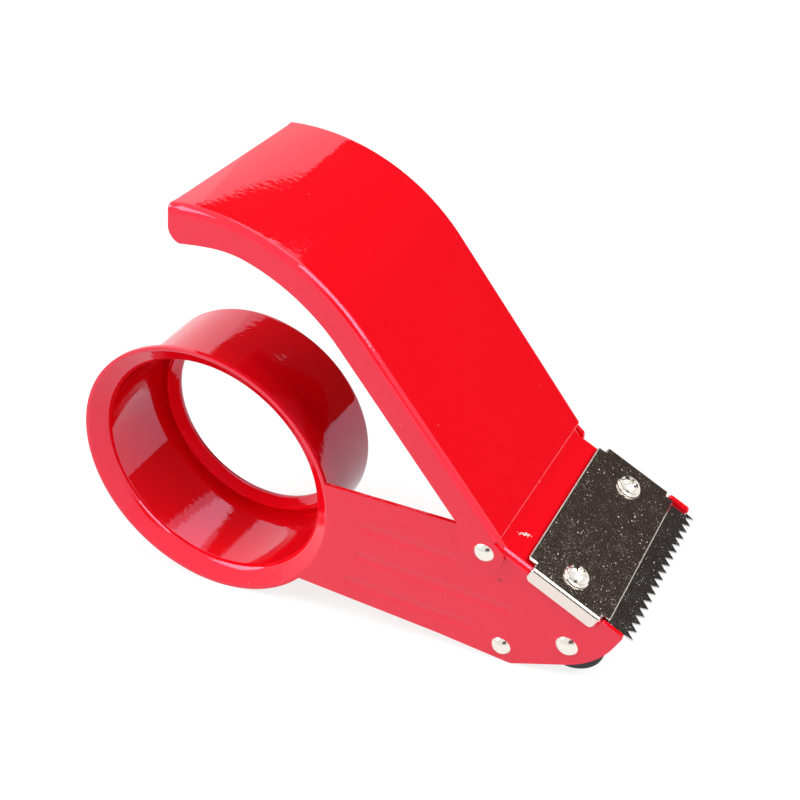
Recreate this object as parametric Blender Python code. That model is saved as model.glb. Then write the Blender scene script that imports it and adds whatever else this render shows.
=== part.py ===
"""Hand-held packing tape dispenser.

A pressed steel frame carries a drum for the roll, a channel handle riveted to its head,
a serrated blade clamped under a plated cover, a rubber roller and a guide roller.

Axes: X runs forward to the blade, Y across the tape, away from the side plate, and Z up.
Places in the frame are measured from the drum's axis, on the side plate's outer face.
The finished part stands on Z = 0 and is centred in X and Y.
"""
from math import acos, asin, atan2, cos, hypot, pi, radians, sin, sqrt, tan

import bmesh
import bpy
from mathutils import Vector

MM = 0.001

# Stock and clearances
SHEET = 1.2 * MM            # painted steel of the frame and the handle
PLATED_SHEET = 0.6 * MM     # nickel-plated steel of the cover and the blade
GAP = 0.3 * MM              # air between pieces that touch
HOLE_CLEARANCE = 0.3 * MM   # round a fastener in its hole
RUNNING_CLEARANCE = 0.08 * MM   # round an axle in what turns on it
OVERRUN = 1.0 * MM          # how far a cutter passes the face that it cuts
MERGE = 0.001 * MM          # points closer than this are one

# Facets
RING_STEPS = 60
ROUND_STEPS = 24
HOLE_STEPS = 16
FOLD_STEPS = 3
CORNER_STEPS = 3
HANDLE_ARC_STEPS = 16
SHARP_ANGLE = radians(35)

# Frame: the width over its two side plates, and its folds
FRAME_WIDTH = 61.0 * MM
FOLD_INNER_R = 0.8 * MM

# Drum that carries the roll's core
DRUM_R = 37.5 * MM          # outside of the wall, for a 76 mm core
DRUM_DEPTH = 36.0 * MM      # from the side plate's outer face to the drum's far end
FLARE_WIDTH = 3.9 * MM      # from the wall's outside to the crease on the side plate
FLARE_ANGLE = radians(33)   # of the flare's cone, from the side plate
FLARE_BEND_INNER_R = 1.8 * MM   # between the flare and the wall
RIM_LAND = 1.1 * MM         # flat rim outside the crease
DRUM_CORNER_INNER_R = 1.3 * MM  # at the far end
LIP_WIDTH = 6.7 * MM        # of the far end, from the wall's outside to its mouth
CURL_INNER_R = 0.5 * MM     # where the mouth's edge is curled back into the drum
CURL_ANGLE = radians(28)    # of the curled edge, from the drum's axis
CURL_BACK = 5.0 * MM        # from the drum's far end back to the curl's free edge

# Head: its panel slopes down from the knee, where it leaves the handle's slope
KNEE_X = 96.3 * MM
KNEE_HEIGHT = 40.2 * MM     # above the ground
KNEE_R = 3.0 * MM
HEAD_SLOPE = radians(32.4)
HANDLE_SLOPE = radians(57.6)
STRIP_LENGTH = 7.05 * MM    # of the panel above the knee, under the handle
TONGUE_LENGTH = 5.6 * MM    # of the panel between the ears
EAR_LENGTH = 7.3 * MM       # of the side plates' ears, beside the blade
EAR_RISE = 1.2 * MM         # of the ears, above the panel
EAR_R = 1.0 * MM
EAR_CLEARANCE = 0.75 * MM   # from the cover's side to the ear

# Side plates below the head
FOOT_X = 96.4 * MM
FOOT_R = 3.0 * MM
CHIN_X = 106.0 * MM         # centre of the chin's arc
CHIN_HEIGHT = 28.9 * MM
CHIN_R = 25.0 * MM
PLATE_TOP_ANGLE = radians(8.3)      # where the plate's edges leave the rim
PLATE_BOTTOM_ANGLE = radians(-47.8)
EDGE_BEND_X = 73.7 * MM     # where the bottom edge bends down to the foot
EDGE_BEND_HEIGHT = 4.2 * MM
CHEEK_TOP_X = 84.5 * MM     # rear edge of the far side plate, which only the head has
CHEEK_BOTTOM_X = 87.5 * MM
CHEEK_CORNER_R = 4.0 * MM

# Stiffening ribs pressed into the side plate
RIB_MARGIN = 11.5 * MM      # from the rim to the ribs' rear ends
RIB_FIRST_ANGLE = radians(-6.7)
RIB_ANGLE_STEP = radians(-12)
RIB_SLOPE = radians(7)
RIB_LENGTH_SHARES = (0.50, 0.84, 0.71)      # of the way from the rim to the knee
RIB_HALF_WIDTH = 2.4 * MM
RIB_DEPTH = 0.4 * MM
RIB_EDGE = 0.9 * MM         # width of a rib's sloping edge

# Handle, a channel folded from one sheet
HANDLE_STOP = 3.5 * MM      # from the knee up to the handle's lower end
HANDLE_STRAIGHT = 66.7 * MM
HANDLE_ARC_R = 64.6 * MM
HANDLE_ARC = radians(57.8)
FLANGE_DEPTH = 8.7 * MM
FLANGE_REAR_DROP = 2.3 * MM     # how much deeper the flange is at the rear
FLANGE_GROWTH = 26.0 * MM   # length over which it deepens
REAR_CORNER_R = 4.0 * MM
REAR_LEAN = radians(13)     # of the flange's rear edge
REAR_SETBACK = 0.4 * MM     # of the top's rear edge, from the rear ends of its folds
REAR_SKEW = 1.5 * MM        # how much shorter the handle is along its far side
REAR_EASE = 3.0 * MM        # from each fold to where the rear edge is set back
TAB_R = 5.85 * MM           # round end of each flange, about its rivet
TAB_END_ANGLE = radians(248)  # where the tab's arc gives way to its sloping top
TAB_SHOULDER = 1.9 * MM     # depth of the notch between that top and the fold, below the handle's top
TAB_JOIN = 8.0 * MM         # from the handle's lower end up to where the tab starts
TAB_NOTCH = 0.35 * MM       # between the tab and the fold's lower end
RIVET_DROP = 1.6 * MM       # of the rivet, beyond the handle's lower end
RIVET_DEPTH = 6.6 * MM      # of the rivet, below the handle's top

# Cover plate over the blade
COVER_REAR = 6.45 * MM      # from the knee
COVER_LENGTH = 27.3 * MM
COVER_NOTCH = 2.6 * MM      # length of the notches at its corners
COVER_REAR_INSET = 2.2 * MM     # of its rear end, from the side plate's outer face
COVER_FRONT_INSET = 1.7 * MM
COVER_FOLD_INNER_R = 0.6 * MM
COVER_FLANGE = 4.7 * MM     # depth of its sides, from its top
COVER_CORNER_R = 0.7 * MM
COVER_FLANGE_CORNER_R = 1.4 * MM

# Serrated blade
BLADE_TUCK = 3.55 * MM      # of its rear edge, from the cover's rear edge
BLADE_SHOW = 8.05 * MM      # of its tips, beyond the cover's front edge
BLADE_CLEARANCE = 0.38 * MM     # from the ears
TOOTH_PITCH = 3.36 * MM
TOOTH_DEPTH = 2.5 * MM

# Cover screws, with their lock washers and nuts
SCREW_NEAR_INSET = 7.3 * MM     # from the side plate's outer face
SCREW_FAR_INSET = 9.4 * MM      # from the far cheek's outer face
SCREW_R = 1.9 * MM
SCREW_HEAD_R = 3.4 * MM
SCREW_HEAD_HEIGHT = 1.7 * MM
SCREW_HEAD_CORNER_R = 1.0 * MM
SCREW_TAIL = 1.2 * MM       # below the nut
RECESS_WIDTH = 0.9 * MM
RECESS_SPAN = 3.9 * MM
RECESS_DEPTH = 1.1 * MM
WASHER_R = 3.7 * MM
WASHER_THICKNESS = 0.6 * MM
WASHER_SPLIT = 0.6 * MM
NUT_HALF_FLATS = 3.5 * MM
NUT_THICKNESS = 3.0 * MM

# Rivets of the handle, and the two axles that are riveted over the side plates
RIVET_HEAD_R = 2.95 * MM
RIVET_HEAD_HEIGHT = 1.5 * MM
RIVET_R = 1.5 * MM
RIVET_TAIL_R = 2.5 * MM
RIVET_TAIL_HEIGHT = 0.8 * MM
GUIDE_AXLE_X = 94.0 * MM
GUIDE_AXLE_HEIGHT = 5.5 * MM
GUIDE_AXLE_R = 2.0 * MM
ROLLER_AXLE_X = 113.8 * MM
ROLLER_AXLE_HEIGHT = 11.9 * MM
ROLLER_AXLE_R = 2.5 * MM
ROLLER_AXLE_HEAD_R = 3.25 * MM

# Rollers and the washers at their ends
RUBBER_R = 10.1 * MM
RUBBER_EDGE_R = 0.8 * MM
CORE_R = 6.2 * MM
GUIDE_R = 3.8 * MM
GUIDE_EDGE_R = 0.4 * MM
SPACER_THICKNESS = 0.6 * MM
SPACER_MARGIN = 1.6 * MM    # of a spacer's edge, beyond its hole

# Derived sizes and places
FOLD_R = FOLD_INNER_R + SHEET
WALL_INNER_R = DRUM_R - SHEET
CREASE_R = DRUM_R + FLARE_WIDTH
RIM_R = CREASE_R + RIM_LAND
GROUND = -RIM_R
KNEE_Z = GROUND + KNEE_HEIGHT
RIB_START_R = RIM_R + RIB_MARGIN
CHEEK_INNER = FRAME_WIDTH - SHEET
MIDDLE = FRAME_WIDTH / 2
HANDLE_TOP = GAP + SHEET    # the handle's outer face, over the frame's
BLADE_TOP = GAP + PLATED_SHEET
COVER_TOP = BLADE_TOP + GAP + PLATED_SHEET
COVER_FRONT = COVER_REAR + COVER_LENGTH
PANEL_FOLD_END = COVER_FRONT - COVER_NOTCH + EAR_CLEARANCE
BLADE_TIP = COVER_FRONT + BLADE_SHOW
SCREW_U = COVER_REAR + COVER_LENGTH / 2
SCREW_PLACES = (SCREW_NEAR_INSET, FRAME_WIDTH - SCREW_FAR_INSET)
ROLLER_AXLE = (ROLLER_AXLE_X, GROUND + ROLLER_AXLE_HEIGHT)
GUIDE_AXLE = (GUIDE_AXLE_X, GROUND + GUIDE_AXLE_HEIGHT)


# Materials

def finish(name, colour, roughness, metallic=0.0):
    """Principled material with one base colour."""
    material = bpy.data.materials.new(name)
    material.use_nodes = True
    shader = material.node_tree.nodes["Principled BSDF"]
    shader.inputs["Base Color"].default_value = (*colour, 1.0)
    shader.inputs["Roughness"].default_value = roughness
    shader.inputs["Metallic"].default_value = metallic
    material.diffuse_color = (*colour, 1.0)
    return material


# Plane geometry, as points of whichever plane a piece is drawn in

def arc(centre, radius, start, end, steps):
    """Points on an arc, both ends included."""
    turn = (end - start) / steps
    return [(centre[0] + radius * cos(start + turn * i), centre[1] + radius * sin(start + turn * i))
            for i in range(steps + 1)]


def circle(centre, radius, steps):
    return arc(centre, radius, 0, 2 * pi, steps)[:-1]


def outer_tangent(here, there):
    """Normal of the line that touches two circles (x, z, radius) on the right, going from here to there."""
    dx, dz = there[0] - here[0], there[1] - here[1]
    span = hypot(dx, dz)
    lean = (here[2] - there[2]) / span
    across = sqrt(1 - lean * lean)
    return (dz * across + dx * lean) / span, (dz * lean - dx * across) / span


def belt(stops, steps):
    """Outline stretched anticlockwise round circles (x, z, radius); radius 0 is a sharp corner."""
    points = []
    for i, here in enumerate(stops):
        if here[2] == 0:
            points.append((here[0], here[1]))
            continue
        arriving = outer_tangent(stops[i - 1], here)
        leaving = outer_tangent(here, stops[(i + 1) % len(stops)])
        start = atan2(arriving[1], arriving[0])
        end = atan2(leaving[1], leaving[0])
        if end < start:
            end += 2 * pi
        points += arc(here, here[2], start, end, steps)
    return points


def slot(start, slope, length, half_width, steps):
    """Outline of a round-ended slot that runs down at slope from its first centre."""
    end = (start[0] + length * cos(slope), start[1] - length * sin(slope))
    facing = pi / 2 - slope
    return (arc(start, half_width, facing, facing + pi, steps)
            + arc(end, half_width, facing + pi, facing + 2 * pi, steps))


def dome(base, height, radius, steps):
    """Profile of a domed head, from its edge to its top; a negative height faces backwards."""
    ball = (radius * radius + height * height) / (2 * abs(height))
    edge = asin(radius / ball)
    side = 1 if height > 0 else -1
    sunk = ball - abs(height)
    return [(base + side * (ball * cos(edge * (1 - i / steps)) - sunk), ball * sin(edge * (1 - i / steps)))
            for i in range(steps)] + [(base + height, 0)]


# Mesh helpers

def add_loop(mesh, points):
    return [mesh.verts.new(point) for point in points]


def add_rows(mesh, rows, closed=False):
    """A surface of quads through rows of as many points; returns the rows' vertices."""
    made = [add_loop(mesh, row) for row in rows]
    for first, second in zip(made, made[1:]):
        count = len(first)
        for i in range(count if closed else count - 1):
            j = (i + 1) % count
            mesh.faces.new((first[i], first[j], second[j], second[i]))
    return made


def fill(mesh, loops, normal):
    """Flat surface inside the first closed loop of vertices and outside the others."""
    edges = []
    for loop in loops:
        for i, vertex in enumerate(loop):
            pair = (vertex, loop[(i + 1) % len(loop)])
            edges.append(mesh.edges.get(pair) or mesh.edges.new(pair))
    bmesh.ops.triangle_fill(mesh, use_beauty=True, use_dissolve=False, edges=edges, normal=normal)


def put(name, mesh, material, parent, smooth=False):
    """Turn a bmesh into an object under its parent."""
    data = bpy.data.meshes.new(name)
    mesh.to_mesh(data)
    mesh.free()
    data.materials.append(material)
    if smooth:
        data.shade_smooth()
        data.set_sharp_from_angle(angle=SHARP_ANGLE)
    piece = bpy.data.objects.new(name, data)
    bpy.context.scene.collection.objects.link(piece)
    piece.parent = parent
    return piece


def put_sheet(name, mesh, thickness, show_normal, material, parent):
    """A folded sheet: the mesh is its outer face, and the wall grows behind it."""
    bmesh.ops.remove_doubles(mesh, verts=mesh.verts, dist=MERGE)
    bmesh.ops.recalc_face_normals(mesh, faces=mesh.faces)
    mesh.normal_update()
    showing = sum(face.calc_area() * face.normal.dot(show_normal) for face in mesh.faces)
    if showing < 0:
        bmesh.ops.reverse_faces(mesh, faces=mesh.faces)
    piece = put(name, mesh, material, parent, smooth=True)
    wall = piece.modifiers.new("wall", "SOLIDIFY")
    wall.thickness = thickness
    wall.offset = -1
    wall.use_even_offset = True
    return piece


def lathe(name, profile, material, parent, upright=False):
    """Solid of revolution about Y, or about Z when upright.

    The profile is a line of (place on the axis, radius): open if its ends lie on the axis, else a closed ring.
    """
    mesh = bmesh.new()
    if upright:
        ring = add_loop(mesh, [(radius, 0, place) for place, radius in profile])
    else:
        ring = add_loop(mesh, [(radius, place, 0) for place, radius in profile])
    edges = [mesh.edges.new(pair) for pair in zip(ring, ring[1:])]
    if profile[0][1] > 0:
        edges.append(mesh.edges.new((ring[-1], ring[0])))
    bmesh.ops.spin(mesh, geom=ring + edges, cent=(0, 0, 0), axis=(0, 0, 1) if upright else (0, 1, 0),
                   angle=2 * pi, steps=ROUND_STEPS, use_merge=True)
    bmesh.ops.remove_doubles(mesh, verts=mesh.verts, dist=MERGE)
    bmesh.ops.recalc_face_normals(mesh, faces=mesh.faces)
    return put(name, mesh, material, parent, smooth=True)


def plate(name, outline, holes, low, high, material, parent):
    """Flat plate in the XY plane, from low to high, with holes through it."""
    mesh = bmesh.new()
    loops = [add_loop(mesh, [(x, y, low) for x, y in line]) for line in [outline] + holes]
    fill(mesh, loops, (0, 0, -1))
    raised = bmesh.ops.extrude_face_region(mesh, geom=mesh.faces[:])
    risen = [item for item in raised["geom"] if isinstance(item, bmesh.types.BMVert)]
    bmesh.ops.translate(mesh, verts=risen, vec=(0, 0, high - low))
    bmesh.ops.recalc_face_normals(mesh, faces=mesh.faces)
    return put(name, mesh, material, parent)


def carrier(name, parent, location, slope=0):
    """Empty that carries pieces; a slope turns its X axis downwards."""
    holder = bpy.data.objects.new(name, None)
    holder.empty_display_size = SHEET
    bpy.context.scene.collection.objects.link(holder)
    holder.parent = parent
    holder.location = location
    holder.rotation_euler = (0, slope, 0)
    return holder


# Frame

def head_point(u, w):
    """Point beside the head's panel: u down its slope from the knee, w above its face."""
    return (KNEE_X + u * cos(HEAD_SLOPE) + w * sin(HEAD_SLOPE),
            KNEE_Z - u * sin(HEAD_SLOPE) + w * cos(HEAD_SLOPE))


def strip_point(p, w):
    """Point beside the strip under the handle: p up its slope from the knee, w above its face."""
    return (KNEE_X - p * cos(HANDLE_SLOPE) + w * sin(HANDLE_SLOPE),
            KNEE_Z + p * sin(HANDLE_SLOPE) + w * cos(HANDLE_SLOPE))


def panel_line(w):
    """Line w above the panel's face, from the strip's end round the knee to the folds' front end."""
    tangent = KNEE_R * tan((HANDLE_SLOPE - HEAD_SLOPE) / 2)
    centre = strip_point(tangent, KNEE_R)
    knee = arc(centre, KNEE_R - w, -pi / 2 - HANDLE_SLOPE, -pi / 2 - HEAD_SLOPE, CORNER_STEPS)
    return [strip_point(STRIP_LENGTH, w)] + knee + [head_point(PANEL_FOLD_END, w)]


def head_front():
    """Stops of a side plate's outline, from the foot round the chin and the ear to the fold's front end."""
    top = EAR_RISE - EAR_R
    ear = head_point(PANEL_FOLD_END + EAR_R, top)
    tip = head_point(PANEL_FOLD_END + EAR_LENGTH - EAR_R, top)
    return [(FOOT_X, GROUND + FOOT_R, FOOT_R), (CHIN_X, GROUND + CHIN_HEIGHT, CHIN_R),
            (*tip, EAR_R), (*ear, EAR_R)]


def rim_point(angle):
    return RIM_R * cos(angle), RIM_R * sin(angle)


def side_plate_outline():
    """Near side plate, anticlockwise from where its bottom edge leaves the rim."""
    fold = [(*point, 0) for point in reversed(panel_line(-FOLD_R))]
    corners = [(*rim_point(PLATE_BOTTOM_ANGLE), 0), (EDGE_BEND_X, GROUND + EDGE_BEND_HEIGHT, 0)]
    corners += head_front() + fold + [(*rim_point(PLATE_TOP_ANGLE), 0)]
    turn = 2 * pi / RING_STEPS
    first = int(PLATE_TOP_ANGLE // turn) + 1
    last = int((2 * pi + PLATE_BOTTOM_ANGLE) // turn)
    return belt(corners, CORNER_STEPS) + [rim_point(turn * i) for i in range(first, last + 1)]


def cheek_outline():
    """Far side plate, which only the head has."""
    fold = panel_line(-FOLD_R)
    start = rim_point(PLATE_BOTTOM_ANGLE)
    rise = (start[1] - GROUND) / (FOOT_X - start[0])
    low_x = CHEEK_BOTTOM_X + CHEEK_CORNER_R
    rear_low = (low_x, GROUND + (FOOT_X - low_x) * rise + CHEEK_CORNER_R, CHEEK_CORNER_R)
    rear_top = (CHEEK_TOP_X + CHEEK_CORNER_R, fold[0][1] - CHEEK_CORNER_R, CHEEK_CORNER_R)
    stops = head_front() + [(*point, 0) for point in reversed(fold)] + [rear_top, rear_low]
    return belt(stops, CORNER_STEPS)


def drum_profile():
    """The drum's inner face as (y, radius), from the crease on the side plate to its free edge."""
    bend_r = FLARE_BEND_INNER_R + SHEET
    turn = pi / 2 - FLARE_ANGLE
    bend_y = ((CREASE_R - WALL_INNER_R - bend_r * (1 - cos(turn))) * tan(FLARE_ANGLE) + bend_r * sin(turn))
    bend = arc((bend_y, WALL_INNER_R + bend_r), bend_r, -pi / 2 - turn, -pi / 2, FOLD_STEPS)
    corner_centre = DRUM_CORNER_INNER_R + SHEET
    corner = arc((DRUM_DEPTH - corner_centre, DRUM_R - corner_centre), DRUM_CORNER_INNER_R, pi / 2, 0,
                 CORNER_STEPS)
    curl_centre = CURL_INNER_R + SHEET
    curl = arc((DRUM_DEPTH - curl_centre, DRUM_R - LIP_WIDTH + curl_centre), CURL_INNER_R,
               0, -pi / 2 - CURL_ANGLE, FOLD_STEPS)
    run = curl[-1][0] - (DRUM_DEPTH - CURL_BACK)
    free_edge = (DRUM_DEPTH - CURL_BACK, curl[-1][1] + run * tan(CURL_ANGLE))
    return [(0, CREASE_R)] + bend + corner + curl + [free_edge]


def add_rib(mesh, start, length):
    """One pressed rib, as a sloping edge and a floor; returns the outline that it leaves in the plate."""
    edge = slot(start, RIB_SLOPE, length, RIB_HALF_WIDTH, FOLD_STEPS)
    floor = slot(start, RIB_SLOPE, length, RIB_HALF_WIDTH - RIB_EDGE, FOLD_STEPS)
    rows = add_rows(mesh, [[(x, 0, z) for x, z in edge], [(x, RIB_DEPTH, z) for x, z in floor]], closed=True)
    fill(mesh, [rows[1]], (0, -1, 0))
    return edge


def handle_rivet_place():
    """The handle's rivet in the side plate."""
    return strip_point(HANDLE_STOP - RIVET_DROP, HANDLE_TOP - RIVET_DEPTH)


def axle_holes():
    """Holes that both side plates have."""
    return [circle(handle_rivet_place(), RIVET_R + HOLE_CLEARANCE, HOLE_STEPS),
            circle(GUIDE_AXLE, GUIDE_AXLE_R + HOLE_CLEARANCE, HOLE_STEPS),
            circle(ROLLER_AXLE, ROLLER_AXLE_R + HOLE_CLEARANCE, HOLE_STEPS)]


def make_frame(material, parent):
    """Side plate, drum, panel and far cheek, pressed from one sheet."""
    mesh = bmesh.new()

    # Drum, spun from the crease
    turns = [2 * pi * i / RING_STEPS for i in range(RING_STEPS)]
    add_rows(mesh, [[(r * cos(a), y, r * sin(a)) for a in turns] for y, r in drum_profile()], closed=True)

    # Near side plate, with the drum's opening, its ribs and its holes
    lines = [side_plate_outline(), circle((0, 0), CREASE_R, RING_STEPS)] + axle_holes()
    for i, share in enumerate(RIB_LENGTH_SHARES):
        angle = RIB_FIRST_ANGLE + RIB_ANGLE_STEP * i
        start = (RIB_START_R * cos(angle), RIB_START_R * sin(angle))
        lines.append(add_rib(mesh, start, (KNEE_X - RIM_R) * share))
    fill(mesh, [add_loop(mesh, [(x, 0, z) for x, z in line]) for line in lines], (0, -1, 0))

    # Far cheek
    lines = [cheek_outline()] + axle_holes()
    fill(mesh, [add_loop(mesh, [(x, FRAME_WIDTH, z) for x, z in line]) for line in lines], (0, 1, 0))

    # Folds up to the panel, and the strip and the knee between them
    bends = [pi / 2 * i / FOLD_STEPS for i in range(FOLD_STEPS + 1)]
    near = [[(x, FOLD_R * (1 - cos(a)), z) for x, z in panel_line(FOLD_R * (sin(a) - 1))] for a in bends]
    far = [[(x, FRAME_WIDTH - y, z) for x, y, z in row] for row in reversed(near)]
    add_rows(mesh, near)
    add_rows(mesh, far)
    add_rows(mesh, [near[-1][:-1], far[0][:-1]])

    # Sloping panel and its tongue, with the screws' holes
    face = panel_line(0)
    edge = [face[-2], face[-1], head_point(PANEL_FOLD_END + TONGUE_LENGTH, 0)]
    outline = [(x, FOLD_R, z) for x, z in edge] + [(x, FRAME_WIDTH - FOLD_R, z) for x, z in reversed(edge)]
    loops = [add_loop(mesh, outline)]
    for hole in screw_holes():
        points = [(head_point(u, 0), y) for u, y in hole]
        loops.append(add_loop(mesh, [(x, y, z) for (x, z), y in points]))
    fill(mesh, loops, (sin(HEAD_SLOPE), 0, cos(HEAD_SLOPE)))

    return put_sheet("side_frame", mesh, SHEET, Vector((0, -1, 0)), material, parent)


# Handle, drawn from the lower end of its top face: X down the slope, Z off the face

def handle_point(s, depth):
    """Point s up the handle from its lower end, and depth below its top face."""
    if s <= HANDLE_STRAIGHT:
        return -s, -depth
    turn = (s - HANDLE_STRAIGHT) / HANDLE_ARC_R
    reach = HANDLE_ARC_R - depth
    return -HANDLE_STRAIGHT - reach * sin(turn), -HANDLE_ARC_R + reach * cos(turn)


def handle_stations():
    step = HANDLE_ARC_R * HANDLE_ARC / HANDLE_ARC_STEPS
    return [0] + [HANDLE_STRAIGHT + step * i for i in range(HANDLE_ARC_STEPS + 1)]


def flange_outline(end):
    """Edge of one flange as (s, depth), up its fold to its rear end and back along its free edge to the tab."""
    stations = handle_stations()[:-1] + [end]
    fold = [(s, FOLD_R) for s in stations]

    # Round rear corner, then the free edge, which eases from the deeper rear to the even depth
    corner_depth = FLANGE_DEPTH + FLANGE_REAR_DROP - REAR_CORNER_R
    touch_depth = corner_depth - REAR_CORNER_R * sin(REAR_LEAN)
    corner_s = end + (touch_depth - FOLD_R) * tan(REAR_LEAN) - REAR_CORNER_R * cos(REAR_LEAN)
    edge = arc((corner_s, corner_depth), REAR_CORNER_R, -REAR_LEAN, pi / 2, CORNER_STEPS)
    for s in reversed(stations[1:]):
        if s < corner_s:
            share = min(max((s - end + FLANGE_GROWTH) / FLANGE_GROWTH, 0), 1)
            edge.append((s, FLANGE_DEPTH + FLANGE_REAR_DROP * share * share * (3 - 2 * share)))
    edge.append((TAB_JOIN, FLANGE_DEPTH))

    # The tab leaves the edge on a tangent, runs round the rivet and back to the fold's lower end
    rivet = (-RIVET_DROP, RIVET_DEPTH)
    away = (TAB_JOIN - rivet[0], FLANGE_DEPTH - rivet[1])
    touch = atan2(away[1], away[0]) + acos(TAB_R / hypot(*away))
    tab = arc(rivet, TAB_R, touch, TAB_END_ANGLE, 4 * CORNER_STEPS)
    return fold + edge + tab + [(-TAB_NOTCH, TAB_SHOULDER)]


def make_handle(material, parent):
    """Channel handle: a curved top with a flange down each side."""
    mesh = bmesh.new()
    near = -HANDLE_TOP
    far = FRAME_WIDTH + HANDLE_TOP

    # Top and its two folds; the rear edge is skewed, and set back between the folds
    bends = [pi / 2 * i / FOLD_STEPS for i in range(FOLD_STEPS + 1)]
    across = [(near + FOLD_R * (1 - cos(a)), FOLD_R * (1 - sin(a)), 0) for a in bends]
    across.append((near + FOLD_R + REAR_EASE, 0, REAR_SETBACK))
    across += [(near + far - y, depth, setback) for y, depth, setback in reversed(across)]
    stations = handle_stations()
    end = stations.pop()
    ends = [end - setback - REAR_SKEW * (y - near) / (far - near) for y, _, setback in across]
    rows = []
    for places in [[s] * len(across) for s in stations] + [ends]:
        points = [(handle_point(s, depth), y) for s, (y, depth, _) in zip(places, across)]
        rows.append([(x, y, z) for (x, z), y in points])
    add_rows(mesh, rows)

    # Flanges with their rivet holes
    hole = circle((-RIVET_DROP, RIVET_DEPTH), RIVET_R + HOLE_CLEARANCE, HOLE_STEPS)
    for y, rear, out in ((near, end, -1), (far, end - REAR_SKEW, 1)):
        loops = []
        for line in (flange_outline(rear), hole):
            flat = [handle_point(s, depth) for s, depth in line]
            loops.append(add_loop(mesh, [(x, y, z) for x, z in flat]))
        fill(mesh, loops, (0, out, 0))

    return put_sheet("handle", mesh, SHEET, Vector((0, 0, 1)), material, parent)


# Head fittings, drawn from the knee: X down the panel, Z off its face

def screw_holes():
    return [circle((SCREW_U, y), SCREW_R + HOLE_CLEARANCE, HOLE_STEPS) for y in SCREW_PLACES]


def make_cover(material, parent):
    """Plated cover with notched corners and a side folded down over each side plate."""
    mesh = bmesh.new()
    fold_r = COVER_FOLD_INNER_R + PLATED_SHEET
    near = -GAP - PLATED_SHEET
    first = COVER_REAR + COVER_NOTCH
    last = COVER_FRONT - COVER_NOTCH
    rear_corner = arc((COVER_REAR + COVER_CORNER_R, COVER_REAR_INSET + COVER_CORNER_R), COVER_CORNER_R,
                      pi, 1.5 * pi, CORNER_STEPS)
    front_corner = arc((COVER_FRONT - COVER_CORNER_R, COVER_FRONT_INSET + COVER_CORNER_R), COVER_CORNER_R,
                       -pi / 2, 0, CORNER_STEPS)
    side_line = [(first, COVER_REAR_INSET), (first, near + fold_r), (last, near + fold_r),
                 (last, COVER_FRONT_INSET)]
    half = rear_corner + side_line + front_corner
    outline = half + [(u, FRAME_WIDTH - y) for u, y in reversed(half)]
    loops = [add_loop(mesh, [(u, y, COVER_TOP) for u, y in line]) for line in [outline] + screw_holes()]
    fill(mesh, loops, (0, 0, 1))

    # Sides: a fold, then a flat flange with round lower corners
    bottom = COVER_TOP - COVER_FLANGE
    lower = bottom + COVER_FLANGE_CORNER_R
    flange = [(first, COVER_TOP - fold_r), (last, COVER_TOP - fold_r)]
    flange += arc((last - COVER_FLANGE_CORNER_R, lower), COVER_FLANGE_CORNER_R, 0, -pi / 2, CORNER_STEPS)
    flange += arc((first + COVER_FLANGE_CORNER_R, lower), COVER_FLANGE_CORNER_R, -pi / 2, -pi, CORNER_STEPS)
    bends = [pi / 2 * i / FOLD_STEPS for i in range(FOLD_STEPS + 1)]
    for face, inward in ((near, 1), (FRAME_WIDTH - near, -1)):
        rows = []
        for a in bends:
            y = face + inward * fold_r * (1 - cos(a))
            w = COVER_TOP - fold_r * (1 - sin(a))
            rows.append([(first, y, w), (last, y, w)])
        add_rows(mesh, rows)
        fill(mesh, [add_loop(mesh, [(u, face, w) for u, w in flange])], (0, -inward, 0))

    return put_sheet("cover_plate", mesh, PLATED_SHEET, Vector((0, 0, 1)), material, parent)


def make_blade(material, parent):
    """Flat blade with as many teeth as fit between the ears."""
    side = SHEET + BLADE_CLEARANCE
    steps = int((FRAME_WIDTH - 2 * side) // TOOTH_PITCH)
    first_tip = MIDDLE - TOOTH_PITCH * steps / 2
    rear = COVER_REAR + BLADE_TUCK
    valley = BLADE_TIP - TOOTH_DEPTH
    outline = [(rear, side), (valley, side)]
    for i in range(steps):
        tip_y = first_tip + TOOTH_PITCH * i
        outline += [(BLADE_TIP, tip_y), (valley, tip_y + TOOTH_PITCH / 2)]
    outline += [(BLADE_TIP, first_tip + TOOTH_PITCH * steps), (valley, FRAME_WIDTH - side),
                (rear, FRAME_WIDTH - side)]
    return plate("serrated_blade", outline, screw_holes(), GAP, BLADE_TOP, material, parent)


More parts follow.
